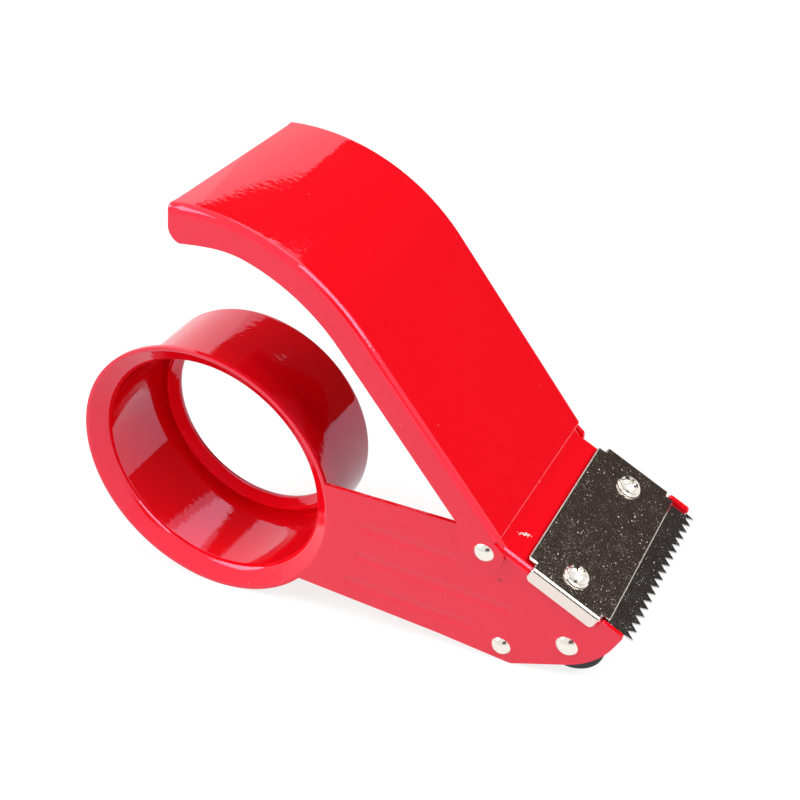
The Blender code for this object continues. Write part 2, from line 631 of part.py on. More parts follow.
def make_screw(side, materials, head, y):
    """Pan-head screw with a cross recess, its split lock washer and its nut under the panel."""
    seat = carrier("screw_seat_" + side, head, (SCREW_U, y, COVER_TOP + GAP))
    steel = materials["fastener"]

    # Nut, under the panel
    nut_top = -COVER_TOP - GAP - SHEET - GAP
    nut_low = nut_top - NUT_THICKNESS
    hexagon = circle((0, 0), NUT_HALF_FLATS / cos(pi / 6), 6)
    bore = circle((0, 0), SCREW_R + HOLE_CLEARANCE, HOLE_STEPS)
    plate("screw_nut_" + side, hexagon, [bore], nut_low, nut_top, materials["zinc"], seat)

    # Split washer
    split = WASHER_SPLIT / WASHER_R
    ring = arc((0, 0), WASHER_R, split, 2 * pi - split, ROUND_STEPS)
    ring += arc((0, 0), SCREW_R + HOLE_CLEARANCE, 2 * pi - split, split, HOLE_STEPS)
    plate("lock_washer_" + side, ring, [], 0, WASHER_THICKNESS, steel, seat)

    # Screw, with the cutter for its recess
    under = WASHER_THICKNESS + GAP
    top = under + SCREW_HEAD_HEIGHT
    crown = arc((top - SCREW_HEAD_CORNER_R, SCREW_HEAD_R - SCREW_HEAD_CORNER_R), SCREW_HEAD_CORNER_R,
                pi / 2, 0, CORNER_STEPS)
    tail = nut_low - SCREW_TAIL
    profile = [(tail, 0), (tail, SCREW_R), (under, SCREW_R), (under, SCREW_HEAD_R)] + crown + [(top, 0)]
    screw = lathe("cover_screw_" + side, profile, steel, seat, upright=True)
    arm = [(RECESS_SPAN / 2, -RECESS_WIDTH / 2), (RECESS_SPAN / 2, RECESS_WIDTH / 2),
           (RECESS_WIDTH / 2, RECESS_WIDTH / 2)]
    cross = []
    for _ in range(4):
        cross += arm
        arm = [(-b, a) for a, b in arm]
    cutter = plate("recess_" + side, cross, [], top - RECESS_DEPTH, top + OVERRUN, steel, seat)
    cutter.hide_render = True
    cutter.display_type = "WIRE"
    recess = screw.modifiers.new("recess", "BOOLEAN")
    recess.operation = "DIFFERENCE"
    recess.object = cutter


# Rivets, axles and rollers, all turned about Y

def make_rivet(name, material, parent, place, y, turned):
    """Rivet from the handle's flange, at Y = -HANDLE_TOP, through the side plate at Y = 0."""
    head = dome(-HANDLE_TOP - GAP, -RIVET_HEAD_HEIGHT, RIVET_HEAD_R, CORNER_STEPS)
    tail = dome(SHEET + GAP, RIVET_TAIL_HEIGHT, RIVET_TAIL_R, CORNER_STEPS)
    shank = [(head[0][0], RIVET_R), (tail[0][0], RIVET_R)]
    rivet = lathe(name, head[::-1] + shank + tail, material, parent)
    rivet.location = (place[0], y, place[1])
    rivet.rotation_euler = (pi if turned else 0, 0, 0)


def make_axle(name, radius, head_r, material, axis):
    """Axle with a domed head formed over each side plate."""
    near = dome(-GAP, -RIVET_HEAD_HEIGHT, head_r, CORNER_STEPS)
    far = dome(FRAME_WIDTH + GAP, RIVET_HEAD_HEIGHT, head_r, CORNER_STEPS)
    shank = [(near[0][0], radius), (far[0][0], radius)]
    lathe(name, near[::-1] + shank + far, material, axis)


def tube_profile(low, high, inner, outer, edge):
    """Profile of a tube whose outer edges are rounded."""
    far_edge = arc((high - edge, outer - edge), edge, 0, pi / 2, CORNER_STEPS)
    near_edge = arc((low + edge, outer - edge), edge, pi / 2, pi, CORNER_STEPS)
    return [(low, inner), (high, inner)] + far_edge + near_edge


def make_spacers(name, axle_r, material, axis):
    """A washer against each side plate; returns what is left between them for the roller."""
    bore = axle_r + HOLE_CLEARANCE
    near = SHEET + GAP
    far = CHEEK_INNER - GAP
    for side, low in (("near", near), ("far", far - SPACER_THICKNESS)):
        high = low + SPACER_THICKNESS
        ring = [(low, bore), (high, bore), (high, bore + SPACER_MARGIN), (low, bore + SPACER_MARGIN)]
        lathe(name + "_" + side, ring, material, axis)
    return near + SPACER_THICKNESS + GAP, far - SPACER_THICKNESS - GAP


def make_rollers(materials, parent):
    """Rubber roller on the front axle and guide roller on the rear one."""
    axis = carrier("roller_axis", parent, (ROLLER_AXLE[0], 0, ROLLER_AXLE[1]))
    make_axle("roller_axle", ROLLER_AXLE_R, ROLLER_AXLE_HEAD_R, materials["fastener"], axis)
    low, high = make_spacers("roller_spacer", ROLLER_AXLE_R, materials["zinc"], axis)
    bore = ROLLER_AXLE_R + RUNNING_CLEARANCE
    core = [(low, bore), (high, bore), (high, CORE_R), (low, CORE_R)]
    lathe("roller_core", core, materials["core"], axis)
    rubber = tube_profile(low, high, CORE_R + GAP, RUBBER_R, RUBBER_EDGE_R)
    lathe("rubber_roller", rubber, materials["rubber"], axis)

    axis = carrier("guide_axis", parent, (GUIDE_AXLE[0], 0, GUIDE_AXLE[1]))
    make_axle("guide_axle", GUIDE_AXLE_R, RIVET_HEAD_R, materials["fastener"], axis)
    low, high = make_spacers("guide_spacer", GUIDE_AXLE_R, materials["zinc"], axis)
    tube = tube_profile(low, high, GUIDE_AXLE_R + RUNNING_CLEARANCE, GUIDE_R, GUIDE_EDGE_R)
    lathe("guide_roller", tube, materials["zinc"], axis)


def build():
    for leftover in list(bpy.data.objects):
        bpy.data.objects.remove(leftover, do_unlink=True)

    materials = {
        "frame": finish("red_enamel", (0.78, 0.010, 0.022), 0.15),
        "handle": finish("red_enamel_of_handle", (0.82, 0.010, 0.016), 0.18),
        "cover": finish("dark_nickel_plate", (0.42, 0.38, 0.34), 0.22, 1),
        "blade": finish("blade_steel", (0.30, 0.28, 0.27), 0.32, 1),
        "fastener": finish("bright_nickel_plate", (0.72, 0.69, 0.65), 0.16, 1),
        "zinc": finish("zinc_plated_steel", (0.55, 0.55, 0.57), 0.35, 1),
        "rubber": finish("black_rubber", (0.02, 0.02, 0.02), 0.7),
        "core": finish("white_nylon", (0.75, 0.74, 0.70), 0.45),
    }

    # The blade's tips are the foremost point and the drum's rim is the rearmost and lowest
    foremost = head_point(BLADE_TIP, BLADE_TOP)[0]
    root = carrier("dispenser", None, ((RIM_R - foremost) / 2, -MIDDLE, RIM_R))
    make_frame(materials["frame"], root)

    lower_end = strip_point(HANDLE_STOP, HANDLE_TOP)
    make_handle(materials["handle"], carrier("handle_end", root, (lower_end[0], 0, lower_end[1]), HANDLE_SLOPE))
    for side, y, turned in (("near", 0, False), ("far", FRAME_WIDTH, True)):
        make_rivet("handle_rivet_" + side, materials["fastener"], root, handle_rivet_place(), y, turned)

    head = carrier("head", root, (KNEE_X, 0, KNEE_Z), HEAD_SLOPE)
    make_cover(materials["cover"], head)
    make_blade(materials["blade"], head)
    for side, y in zip(("near", "far"), SCREW_PLACES):
        make_screw(side, materials, head, y)

    make_rollers(materials, root)


build()
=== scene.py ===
"""Looks of a hand-held packing tape dispenser: a pressed frame with a drum, a channel handle,
a toothed blade under a nickel-plated cover, a rubber roller and a guide roller.

Lengths are in metres. X runs forward to the blade, Y across the tape, away from the side plate,
and Z up. Pieces are drawn where the part's source draws them, from the drum's axis on the side
plate's outer face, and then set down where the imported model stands.
"""
from math import acos, asin, atan2, cos, hypot, pi, radians, sin, sqrt, tan

import bmesh
import bpy
from mathutils import Matrix, Vector


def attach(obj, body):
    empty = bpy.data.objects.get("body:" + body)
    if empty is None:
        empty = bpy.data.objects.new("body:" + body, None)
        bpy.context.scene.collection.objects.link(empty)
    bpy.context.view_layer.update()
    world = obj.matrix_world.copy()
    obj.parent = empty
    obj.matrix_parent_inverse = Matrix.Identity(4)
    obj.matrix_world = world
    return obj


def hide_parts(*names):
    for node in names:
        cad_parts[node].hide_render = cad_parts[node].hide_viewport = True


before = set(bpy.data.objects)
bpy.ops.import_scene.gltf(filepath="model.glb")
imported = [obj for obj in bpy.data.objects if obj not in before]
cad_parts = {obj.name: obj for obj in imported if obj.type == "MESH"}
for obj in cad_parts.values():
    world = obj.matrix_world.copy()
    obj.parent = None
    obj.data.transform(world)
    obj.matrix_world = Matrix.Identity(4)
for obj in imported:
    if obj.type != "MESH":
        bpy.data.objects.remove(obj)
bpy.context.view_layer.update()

MM = 0.001

# Stock, as in the part's source
SHEET = 1.2 * MM
PLATED_SHEET = 0.6 * MM
GAP = 0.3 * MM
HOLE_CLEARANCE = 0.3 * MM
MERGE = 0.001 * MM

# Facets
RING_STEPS = 180
FINE_STEPS = 72
HOLE_STEPS = 32
FOLD_STEPS = 8
CORNER_STEPS = 8
FLARE_STEPS = 12
SMOOTH_ANGLE = radians(30)
FACET_ANGLE = radians(16)   # keeps the two facets of a rolled edge apart
CUT_EDGE_ANGLE = radians(50)    # edges sharper than this are cut edges, and get rounded
FLAT_ANGLE = radians(0.5)   # faces as level as this are one flat face
FLAT_FACE_WEIGHT = 80       # how much large faces count in the shading of an edge

# Frame
FRAME_WIDTH = 61.0 * MM
FOLD_R = 2.0 * MM
DRUM_R = 37.5 * MM
DRUM_DEPTH = 36.0 * MM
FLARE_WIDTH = 3.9 * MM
FLARE_ANGLE = radians(33)
FLARE_BEND_R = 3.0 * MM
CREASE_SOFT_R = 1.6 * MM    # rounding of the crease between the side plate and the flare
RIM_LAND = 1.1 * MM
DRUM_CORNER_INNER_R = 1.3 * MM
LIP_WIDTH = 6.7 * MM
CURL_INNER_R = 0.5 * MM
CURL_ANGLE = radians(28)
CURL_BACK = 5.0 * MM
KNEE_X = 96.3 * MM
KNEE_HEIGHT = 40.2 * MM
KNEE_R = 3.0 * MM
HEAD_SLOPE = radians(32.4)
HANDLE_SLOPE = radians(57.6)
STRIP_LENGTH = 7.05 * MM
TONGUE_LENGTH = 5.6 * MM
EAR_LENGTH = 7.3 * MM
EAR_RISE = 1.2 * MM
FAR_EAR_RISE = 2.0 * MM     # the far ear stands higher over the blade
EAR_R = 1.0 * MM
EAR_CLEARANCE = 0.75 * MM
FOOT_X = 96.4 * MM
FOOT_R = 3.0 * MM
CHIN_X = 106.0 * MM
CHIN_HEIGHT = 28.9 * MM
CHIN_R = 25.0 * MM
PLATE_TOP_ANGLE = radians(8.3)
PLATE_BOTTOM_ANGLE = radians(-47.8)
EDGE_BEND_X = 73.7 * MM
EDGE_BEND_HEIGHT = 4.2 * MM
CHEEK_TOP_X = 84.5 * MM
CHEEK_BOTTOM_X = 87.5 * MM
CHEEK_CORNER_R = 4.0 * MM

# Stiffening ribs; each is pressed in by a few small steps, so its edges stay soft
RIB_MARGIN = 11.5 * MM
RIB_FIRST_ANGLE = radians(-6.7)
RIB_ANGLE_STEP = radians(-12)
RIB_SLOPE = radians(7)
RIB_LENGTH_SHARES = (0.50, 0.84, 0.71)
RIB_HALF_WIDTH = 2.4 * MM
RIB_DEPTH = 0.20 * MM
RIB_EDGE = 2.1 * MM
RIB_STEPS = 8

# Handle
HANDLE_STOP = 3.5 * MM
HANDLE_STRAIGHT = 66.7 * MM
HANDLE_ARC_R = 64.6 * MM
HANDLE_ARC = radians(57.8)
FLANGE_DEPTH = 8.7 * MM
FLANGE_REAR_DROP = 2.3 * MM
FLANGE_GROWTH = 26.0 * MM
REAR_CORNER_R = 4.0 * MM
REAR_LEAN = radians(13)
REAR_SETBACK = 0.4 * MM
REAR_SKEW = 1.5 * MM
REAR_EASE = 3.0 * MM
REAR_SHIFT_LENGTH = 10 * MM     # length over which the top follows its skewed rear edge
REAR_FOLD_R = 2.9 * MM      # the near fold widens towards the rear end
REAR_FOLD_GROWTH = 34.0 * MM
TAB_R = 5.85 * MM
TAB_END_ANGLE = radians(248)
TAB_SHOULDER = 1.9 * MM
TAB_JOIN = 8.0 * MM
TAB_NOTCH = 0.35 * MM
RIVET_DROP = 1.6 * MM
RIVET_DEPTH = 6.6 * MM
HANDLE_ROWS_ACROSS = 24
HANDLE_ROWS_STRAIGHT = 16
HANDLE_ROWS_ARC = 64

# Cover plate and blade
COVER_REAR = 6.45 * MM
COVER_LENGTH = 27.3 * MM
COVER_NOTCH = 2.6 * MM
COVER_REAR_INSET = 2.2 * MM
COVER_FRONT_INSET = 1.7 * MM
COVER_FOLD_R = 1.2 * MM
COVER_FLANGE = 4.7 * MM
COVER_CORNER_R = 0.7 * MM
COVER_FLANGE_CORNER_R = 1.4 * MM
BLADE_TUCK = 3.55 * MM
BLADE_SHOW = 8.05 * MM
BLADE_CLEARANCE = 0.38 * MM
TOOTH_PITCH = 3.36 * MM
TOOTH_DEPTH = 2.5 * MM
TOOTH_ROOT_R = 0.25 * MM
TOOTH_ROOT_STEPS = 3

# Cover screws
SCREW_NEAR_INSET = 7.3 * MM
SCREW_FAR_INSET = 9.4 * MM
SCREW_R = 1.9 * MM
SCREW_HEAD_R = 3.25 * MM
SCREW_HEAD_HEIGHT = 2.2 * MM
SCREW_DOME = 1.4 * MM
SCREW_TAIL = 1.2 * MM
RECESS_WIDTH = 1.3 * MM
RECESS_SPAN = 4.3 * MM
RECESS_DEPTH = 1.3 * MM
RECESS_FLOOR_SHARE = 0.35   # of the cross's width and span, left at its floor
WASHER_R = 3.75 * MM
WASHER_THICKNESS = 0.6 * MM
WASHER_SPLIT = 0.6 * MM
WASHER_RISE = 0.25 * MM     # from one end of the split to the other
NUT_THICKNESS = 3.0 * MM

# Rivets, axles and rollers
RIVET_HEAD_R = 2.95 * MM
RIVET_HEAD_HEIGHT = 1.5 * MM
RIVET_R = 1.5 * MM
RIVET_TAIL_R = 2.5 * MM
RIVET_TAIL_HEIGHT = 0.8 * MM
GUIDE_AXLE_X = 94.0 * MM
GUIDE_AXLE_HEIGHT = 5.5 * MM
GUIDE_AXLE_R = 2.0 * MM
ROLLER_AXLE_X = 113.8 * MM
ROLLER_AXLE_HEIGHT = 11.9 * MM
ROLLER_AXLE_R = 2.5 * MM
ROLLER_AXLE_HEAD_R = 3.25 * MM
RUBBER_R = 10.1 * MM
RUBBER_EDGE_R = 0.8 * MM
CORE_R = 6.2 * MM
GUIDE_R = 3.8 * MM
GUIDE_EDGE_R = 0.4 * MM
RUNNING_CLEARANCE = 0.08 * MM
SPACER_THICKNESS = 0.6 * MM

# Rounding of cut edges
ENAMELLED_EDGE = 0.28 * MM
PLATED_EDGE = 0.30 * MM     # roll of the sheared edges of the plated cover's face
REAR_EDGE_DROP = 0.19 * MM  # the cover's rear edge drops less over that width
HANDLE_EDGE = 0.42 * MM
HANDLE_EDGE_STEPS = 4
RECESS_EDGE = 0.14 * MM
WASHER_SIDE = 0.2 * MM
WASHER_SLOPE = 0.62 * MM    # width of the worn slope round the washer's top
HANDLE_END_ROLL = 0.16 * MM
HANDLE_END_ROLL_LENGTH = 0.45 * MM

# Derived sizes and places
WALL_INNER_R = DRUM_R - SHEET
CREASE_R = DRUM_R + FLARE_WIDTH
RIM_R = CREASE_R + RIM_LAND
GROUND = -RIM_R
KNEE_Z = GROUND + KNEE_HEIGHT
RIB_START_R = RIM_R + RIB_MARGIN
MIDDLE = FRAME_WIDTH / 2
KNEE_TANGENT = KNEE_R * tan((HANDLE_SLOPE - HEAD_SLOPE) / 2)
HANDLE_TOP = GAP + SHEET
HANDLE_NEAR = -HANDLE_TOP
HANDLE_FAR = FRAME_WIDTH + HANDLE_TOP
HANDLE_END = HANDLE_STRAIGHT + HANDLE_ARC_R * HANDLE_ARC
BLADE_TOP = GAP + PLATED_SHEET
COVER_TOP = BLADE_TOP + GAP + PLATED_SHEET
COVER_FRONT = COVER_REAR + COVER_LENGTH
PANEL_FOLD_END = COVER_FRONT - COVER_NOTCH + EAR_CLEARANCE
BLADE_TIP = COVER_FRONT + BLADE_SHOW
SCREW_U = COVER_REAR + COVER_LENGTH / 2
SCREW_PLACES = (SCREW_NEAR_INSET, FRAME_WIDTH - SCREW_FAR_INSET)
ROLLER_AXLE = (ROLLER_AXLE_X, GROUND + ROLLER_AXLE_HEIGHT)
GUIDE_AXLE = (GUIDE_AXLE_X, GROUND + GUIDE_AXLE_HEIGHT)
ROLLER_START = SHEET + GAP + SPACER_THICKNESS + GAP
ROLLER_END = FRAME_WIDTH - ROLLER_START


# Drawing: lines of edges, made by moving and turning a vertex

def side_plane(y):
    """Plane of X and Z at a place across the tape."""
    return lambda x, z: Vector((x, y, z))


def axle_plane(place, radius):
    """Plane of a turned piece's profile: along its axis, and out from it."""
    return Vector((radius, place, 0))


def upright_plane(place, radius):
    return Vector((radius, 0, place))


def cross_plane(y, z):
    return Vector((0, y, z))


def level_plane(w):
    """Plane of X and Y at a height."""
    return lambda x, y: Vector((x, y, w))


def draw(mesh, plane, start, moves, closed=False):
    """Line of edges from a point; each move is a point, or (centre, turn, steps) for an arc."""
    line = [mesh.verts.new(plane(*start))]
    origin = plane(0, 0)
    axis = (plane(1, 0) - origin).cross(plane(0, 1) - origin)
    for move in moves:
        if len(move) == 2:
            tip = mesh.verts.new(plane(*move))
            mesh.edges.new((line[-1], tip))
            line.append(tip)
        else:
            centre, turn, steps = move
            bmesh.ops.spin(mesh, geom=[line[-1]], cent=plane(*centre), axis=axis, angle=turn, steps=steps)
            for _ in range(steps):
                around = [edge.other_vert(line[-1]) for edge in line[-1].link_edges]
                line += [vert for vert in around if vert not in line[-2:]]
    if closed:
        if (line[-1].co - line[0].co).length < MERGE:
            mesh.verts.remove(line.pop())
        mesh.edges.new((line[-1], line[0]))
    return line


def line_edges(mesh, line):
    """Edges between the neighbours of a line."""
    return [edge for edge in (mesh.edges.get(pair) for pair in zip(line, line[1:])) if edge]


def draw_circle(mesh, plane, centre, radius, steps):
    start = (centre[0] + radius, centre[1])
    return draw(mesh, plane, start, [(centre, 2 * pi * (1 - 1 / steps), steps - 1)], closed=True)


def draw_holes(mesh, plane, pins):
    """Clearance holes for round pins, each given by its place and radius."""
    return [draw_circle(mesh, plane, place, radius + HOLE_CLEARANCE, HOLE_STEPS) for place, radius in pins]


def fill(mesh, loops, normal):
    """Flat surface inside the first closed line and outside the others."""
    edges = []
    for loop in loops:
        edges += line_edges(mesh, loop + [loop[0]])
    bmesh.ops.triangle_fill(mesh, use_beauty=True, use_dissolve=False, edges=edges, normal=normal)


def spin_round(mesh, axis, steps=FINE_STEPS):
    """Turn the lines drawn so far all the way round an axis through the origin."""
    bmesh.ops.spin(mesh, geom=mesh.verts[:] + mesh.edges[:], cent=(0, 0, 0), axis=axis, angle=2 * pi,
                   steps=steps, use_merge=True)


def carry(mesh, extruded, move):
    """Move the new vertices of an extrusion, and return them."""
    moved = [item for item in extruded["geom"] if isinstance(item, bmesh.types.BMVert)]
    bmesh.ops.translate(mesh, verts=moved, vec=move)
    return moved


def bridge(mesh, lines):
    """Surface through lines of as many points."""
    for first, second in zip(lines, lines[1:]):
        bmesh.ops.bridge_loops(mesh, edges=line_edges(mesh, first) + line_edges(mesh, second))


def smooth_share(value):
    """Share from 0 to 1 that starts and ends gently."""
    share = min(max(value, 0), 1)
    return share * share * (3 - 2 * share)


def outer_tangent(here, there):
    """Normal of the line that touches two circles (x, z, radius) on the right, from here to there."""
    dx, dz = there[0] - here[0], there[1] - here[1]
    span = hypot(dx, dz)
    lean = (here[2] - there[2]) / span
    across = sqrt(1 - lean * lean)
    return (dz * across + dx * lean) / span, (dz * lean - dx * across) / span


def belt(stops):
    """Moves that stretch a line anticlockwise round circles; the first and last stops only aim it."""
    moves = []
    for before, here, after in zip(stops, stops[1:], stops[2:]):
        arriving = outer_tangent(before, here)
        leaving = outer_tangent(here, after)
        turn = (atan2(leaving[1], leaving[0]) - atan2(arriving[1], arriving[0])) % (2 * pi)
        moves.append((here[0] + here[2] * arriving[0], here[1] + here[2] * arriving[1]))
        moves.append(((here[0], here[1]), turn, CORNER_STEPS))
    return moves


# Places of the part

def head_point(u, w):
    """Point beside the head's panel: u down its slope from the knee, w above its face."""
    return (KNEE_X + u * cos(HEAD_SLOPE) + w * sin(HEAD_SLOPE),
            KNEE_Z - u * sin(HEAD_SLOPE) + w * cos(HEAD_SLOPE))


def panel_plane(u, y):
    """Plane of the panel's face: down its slope, and across the tape."""
    x, z = head_point(u, 0)
    return Vector((x, y, z))


def strip_point(p, w):
    """Point beside the strip under the handle: p up its slope from the knee, w above its face."""
    return (KNEE_X - p * cos(HANDLE_SLOPE) + w * sin(HANDLE_SLOPE),
            KNEE_Z + p * sin(HANDLE_SLOPE) + w * cos(HANDLE_SLOPE))


def rim_point(angle):
    return RIM_R * cos(angle), RIM_R * sin(angle)


HANDLE_RIVET = strip_point(HANDLE_STOP - RIVET_DROP, HANDLE_TOP - RIVET_DEPTH)
# Place and radius of what passes through the side plates, and through the panel and the cover
PLATE_PINS = [(HANDLE_RIVET, RIVET_R), (GUIDE_AXLE, GUIDE_AXLE_R), (ROLLER_AXLE, ROLLER_AXLE_R)]
PANEL_PINS = [((SCREW_U, y), SCREW_R) for y in SCREW_PLACES]
FOREMOST = head_point(BLADE_TIP, BLADE_TOP)[0]
SET_DOWN = Matrix.Translation(((RIM_R - FOREMOST) / 2, -MIDDLE, RIM_R))


def set_down_at(place):
    """Where a piece stands that was drawn about a place (x, z)."""
    return SET_DOWN @ Matrix.Translation((place[0], 0, place[1]))


ON_HANDLE = set_down_at(strip_point(HANDLE_STOP, HANDLE_TOP)) @ Matrix.Rotation(HANDLE_SLOPE, 4, "Y")
ON_HEAD = set_down_at((KNEE_X, KNEE_Z)) @ Matrix.Rotation(HEAD_SLOPE, 4, "Y")


# Finished pieces

def loose_object(name, mesh):
    """Object with a bmesh's faces, which frees the bmesh."""
    data = bpy.data.meshes.new(name)
    mesh.to_mesh(data)
    mesh.free()
    made = bpy.data.objects.new(name, data)
    bpy.context.scene.collection.objects.link(made)
    return made


def put(name, node, mesh, place, finish, body="frame", smooth_angle=SMOOTH_ANGLE):
    """Turn a bmesh into a piece in its place, riding on its body and shown for a CAD node."""
    bmesh.ops.transform(mesh, matrix=place, verts=mesh.verts)
    piece = loose_object(name, mesh)
    piece.data.materials.append(finishes[finish])
    piece.data.shade_smooth()
    piece.data.set_sharp_from_angle(angle=smooth_angle)
    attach(piece, body)
    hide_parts(node)
    return piece


def round_edges(piece, width, segments=2):
    """Small rounding of cut edges, with flat faces kept flat in the shading."""
    rounding = piece.modifiers.new("rounded_edges", "BEVEL")
    rounding.width = width
    rounding.segments = segments
    rounding.limit_method = "ANGLE"
    rounding.angle_limit = CUT_EDGE_ANGLE
    keep_flat(piece)


def keep_flat(piece):
    """Flat faces shaded flat up to their rounded edges."""
    shading = piece.modifiers.new("flat_faces", "WEIGHTED_NORMAL")
    shading.weight = FLAT_FACE_WEIGHT
    shading.keep_sharp = True


def face_outwards(mesh, show_normal=None):
    """Merge doubles and turn faces outwards; an open sheet shows its face towards show_normal."""
    bmesh.ops.remove_doubles(mesh, verts=mesh.verts, dist=MERGE)
    bmesh.ops.recalc_face_normals(mesh, faces=mesh.faces)
    mesh.normal_update()
    if show_normal:
        showing = sum(face.calc_area() * face.normal.dot(Vector(show_normal)) for face in mesh.faces)
        if showing < 0:
            bmesh.ops.reverse_faces(mesh, faces=mesh.faces)


def give_wall(piece, thickness):
    wall = piece.modifiers.new("wall", "SOLIDIFY")
    wall.thickness = thickness
    wall.offset = -1
    wall.use_even_offset = True


def mesh_of(piece):
    """Bmesh of a piece with its modifiers applied."""
    shaped = piece.evaluated_get(bpy.context.evaluated_depsgraph_get())
    mesh = bmesh.new()
    mesh.from_mesh(shaped.to_mesh())
    shaped.to_mesh_clear()
    return mesh


def solid_sheet(mesh, thickness, roll):
    """Sheet given its thickness at the back, with the cut edges of its face rolled over."""
    bmesh.ops.dissolve_limit(mesh, angle_limit=FLAT_ANGLE, verts=mesh.verts, edges=mesh.edges)
    mesh.verts.index_update()
    cut = [[vert.index for vert in edge.verts] for edge in mesh.edges if edge.is_boundary]
    sheet = loose_object("sheet", mesh)
    give_wall(sheet, thickness)
    solid = mesh_of(sheet)
    bpy.data.objects.remove(sheet)
    solid.verts.ensure_lookup_table()
    edges = [solid.edges.get([solid.verts[i] for i in pair]) for pair in cut]
    bmesh.ops.bevel(solid, geom=edges, offset=roll, affect="EDGES", segments=1, profile=0.5, material=-1,
                    clamp_overlap=True)
    return solid


# Materials

# Enamel
ENAMEL = "#F90B1C"
ENAMEL_ROUGHNESS = 0.05
ENAMEL_IOR = 1.68
ENAMEL_TINT = (0.70, 0.66, 1.0, 1.0)    # what it reflects looks a little blue
PEEL_SLOPE = 0.014
FRAME_PEEL_SIZE = 1.5 * MM
HANDLE_PEEL_SIZE = 1.4 * MM
SWAY_SIZE = 14 * MM         # slow waves of the sheet under the paint
SWAY_DEPTH = 0.03 * MM
NIB_SPACING = 4.5 * MM      # dust nibs and pinholes caught in the paint; their pale pink is a painted highlight, the glint each catches
NIB_REACH = 0.03            # of their spacing
NIB_SHARE = 0.4             # of the places that have one
# painted highlight: the pale pink glint of a nib, put in the paint's colour
NIB_GLINT_COLOUR = "#F8A6AA"
CHIP_GRAIN = 0.6 * MM       # of a chip's ragged rim
CHIP_RAGGED = 2.6           # how far the grain moves the rim, in half widths of the chip
CHIP_RIM = 2.0              # distance and grain add up to this at the rim
# Chips in the paint: centre, direction, length, width and colour; the strip's shows bare colour, the plate's
# is a pit whose darker red is painted shade
STRIP_CHIP = ((53.6 * MM, -20.1 * MM, 38.9 * MM), (2.4, 1.95, -1.5), 4.6 * MM, 1.4 * MM, "#F6E2E0")
# a pit in the paint on the side plate; its dark red is painted shade
SHADED_PLATE_CHIP = ((50.0 * MM, -30.5 * MM, 29.5 * MM), (0.5, 0.0, -1.0), 1.8 * MM, 1.2 * MM, "#CC0618")

# Plating
GRAIN_SIZE = 0.4 * MM       # the real grain is finer; this is as fine as shows
CLOUD_SIZE = 4.0 * MM
CLOUD_WEIGHT = 0.25
GRAIN_BRIGHT = 0.60         # values of the grain where the dulling starts, and where it is full
GRAIN_DULL = 0.85
PIT_SPACING = 0.7 * MM
PIT_REACH = (0.12, 0.36)    # of their spacing
PIT_ROUGHNESS = (0.30, 0.70)
PIT_POWER = 2.5             # most pits are small


def linear(code):
    """Linear colour of an sRGB hex value."""
    parts = [int(code[i:i + 2], 16) / 255 for i in (1, 3, 5)]
    return tuple(c / 12.92 if c <= 0.04045 else ((c + 0.055) / 1.055) ** 2.4 for c in parts) + (1.0,)


def add(tree, kind, inputs=None, **settings):
    """Add a node with its settings; an input is a value, or the socket or node that feeds it."""
    node = tree.nodes.new("ShaderNode" + kind)
    for key, value in settings.items():
        setattr(node, key, value)
    for key, value in (inputs or {}).items():
        if isinstance(value, bpy.types.Node):
            value = value.outputs[0]
        if isinstance(value, bpy.types.NodeSocket):
            tree.links.new(value, node.inputs[key])
        else:
            node.inputs[key].default_value = value
    return node


def finish_for(name, colour, roughness, metallic=0.0, **constants):
    """Material whose constants sit on its shader; returns it with its tree and shader."""
    material = bpy.data.materials.new(name)
    material.use_nodes = True
    tree = material.node_tree
    shader = tree.nodes["Principled BSDF"]
    shader.inputs["Base Color"].default_value = linear(colour)
    shader.inputs["Roughness"].default_value = roughness
    shader.inputs["Metallic"].default_value = metallic
    for key, value in constants.items():
        shader.inputs[key.replace("_", " ")].default_value = value
    material.diffuse_color = linear(colour)
    return material, tree, shader


def scattered(tree, place, spacing, share):
    """Scatter of spots: distance from a spot's middle, its chance values, and 1 for the share that shows."""
    cells = add(tree, "TexVoronoi", {"Vector": place, "Scale": 1 / spacing})
    chance = add(tree, "SeparateColor", {0: cells.outputs["Color"]})
    some = add(tree, "Math", {0: chance, 1: share}, operation="LESS_THAN")
    return cells.outputs["Distance"], chance.outputs, some


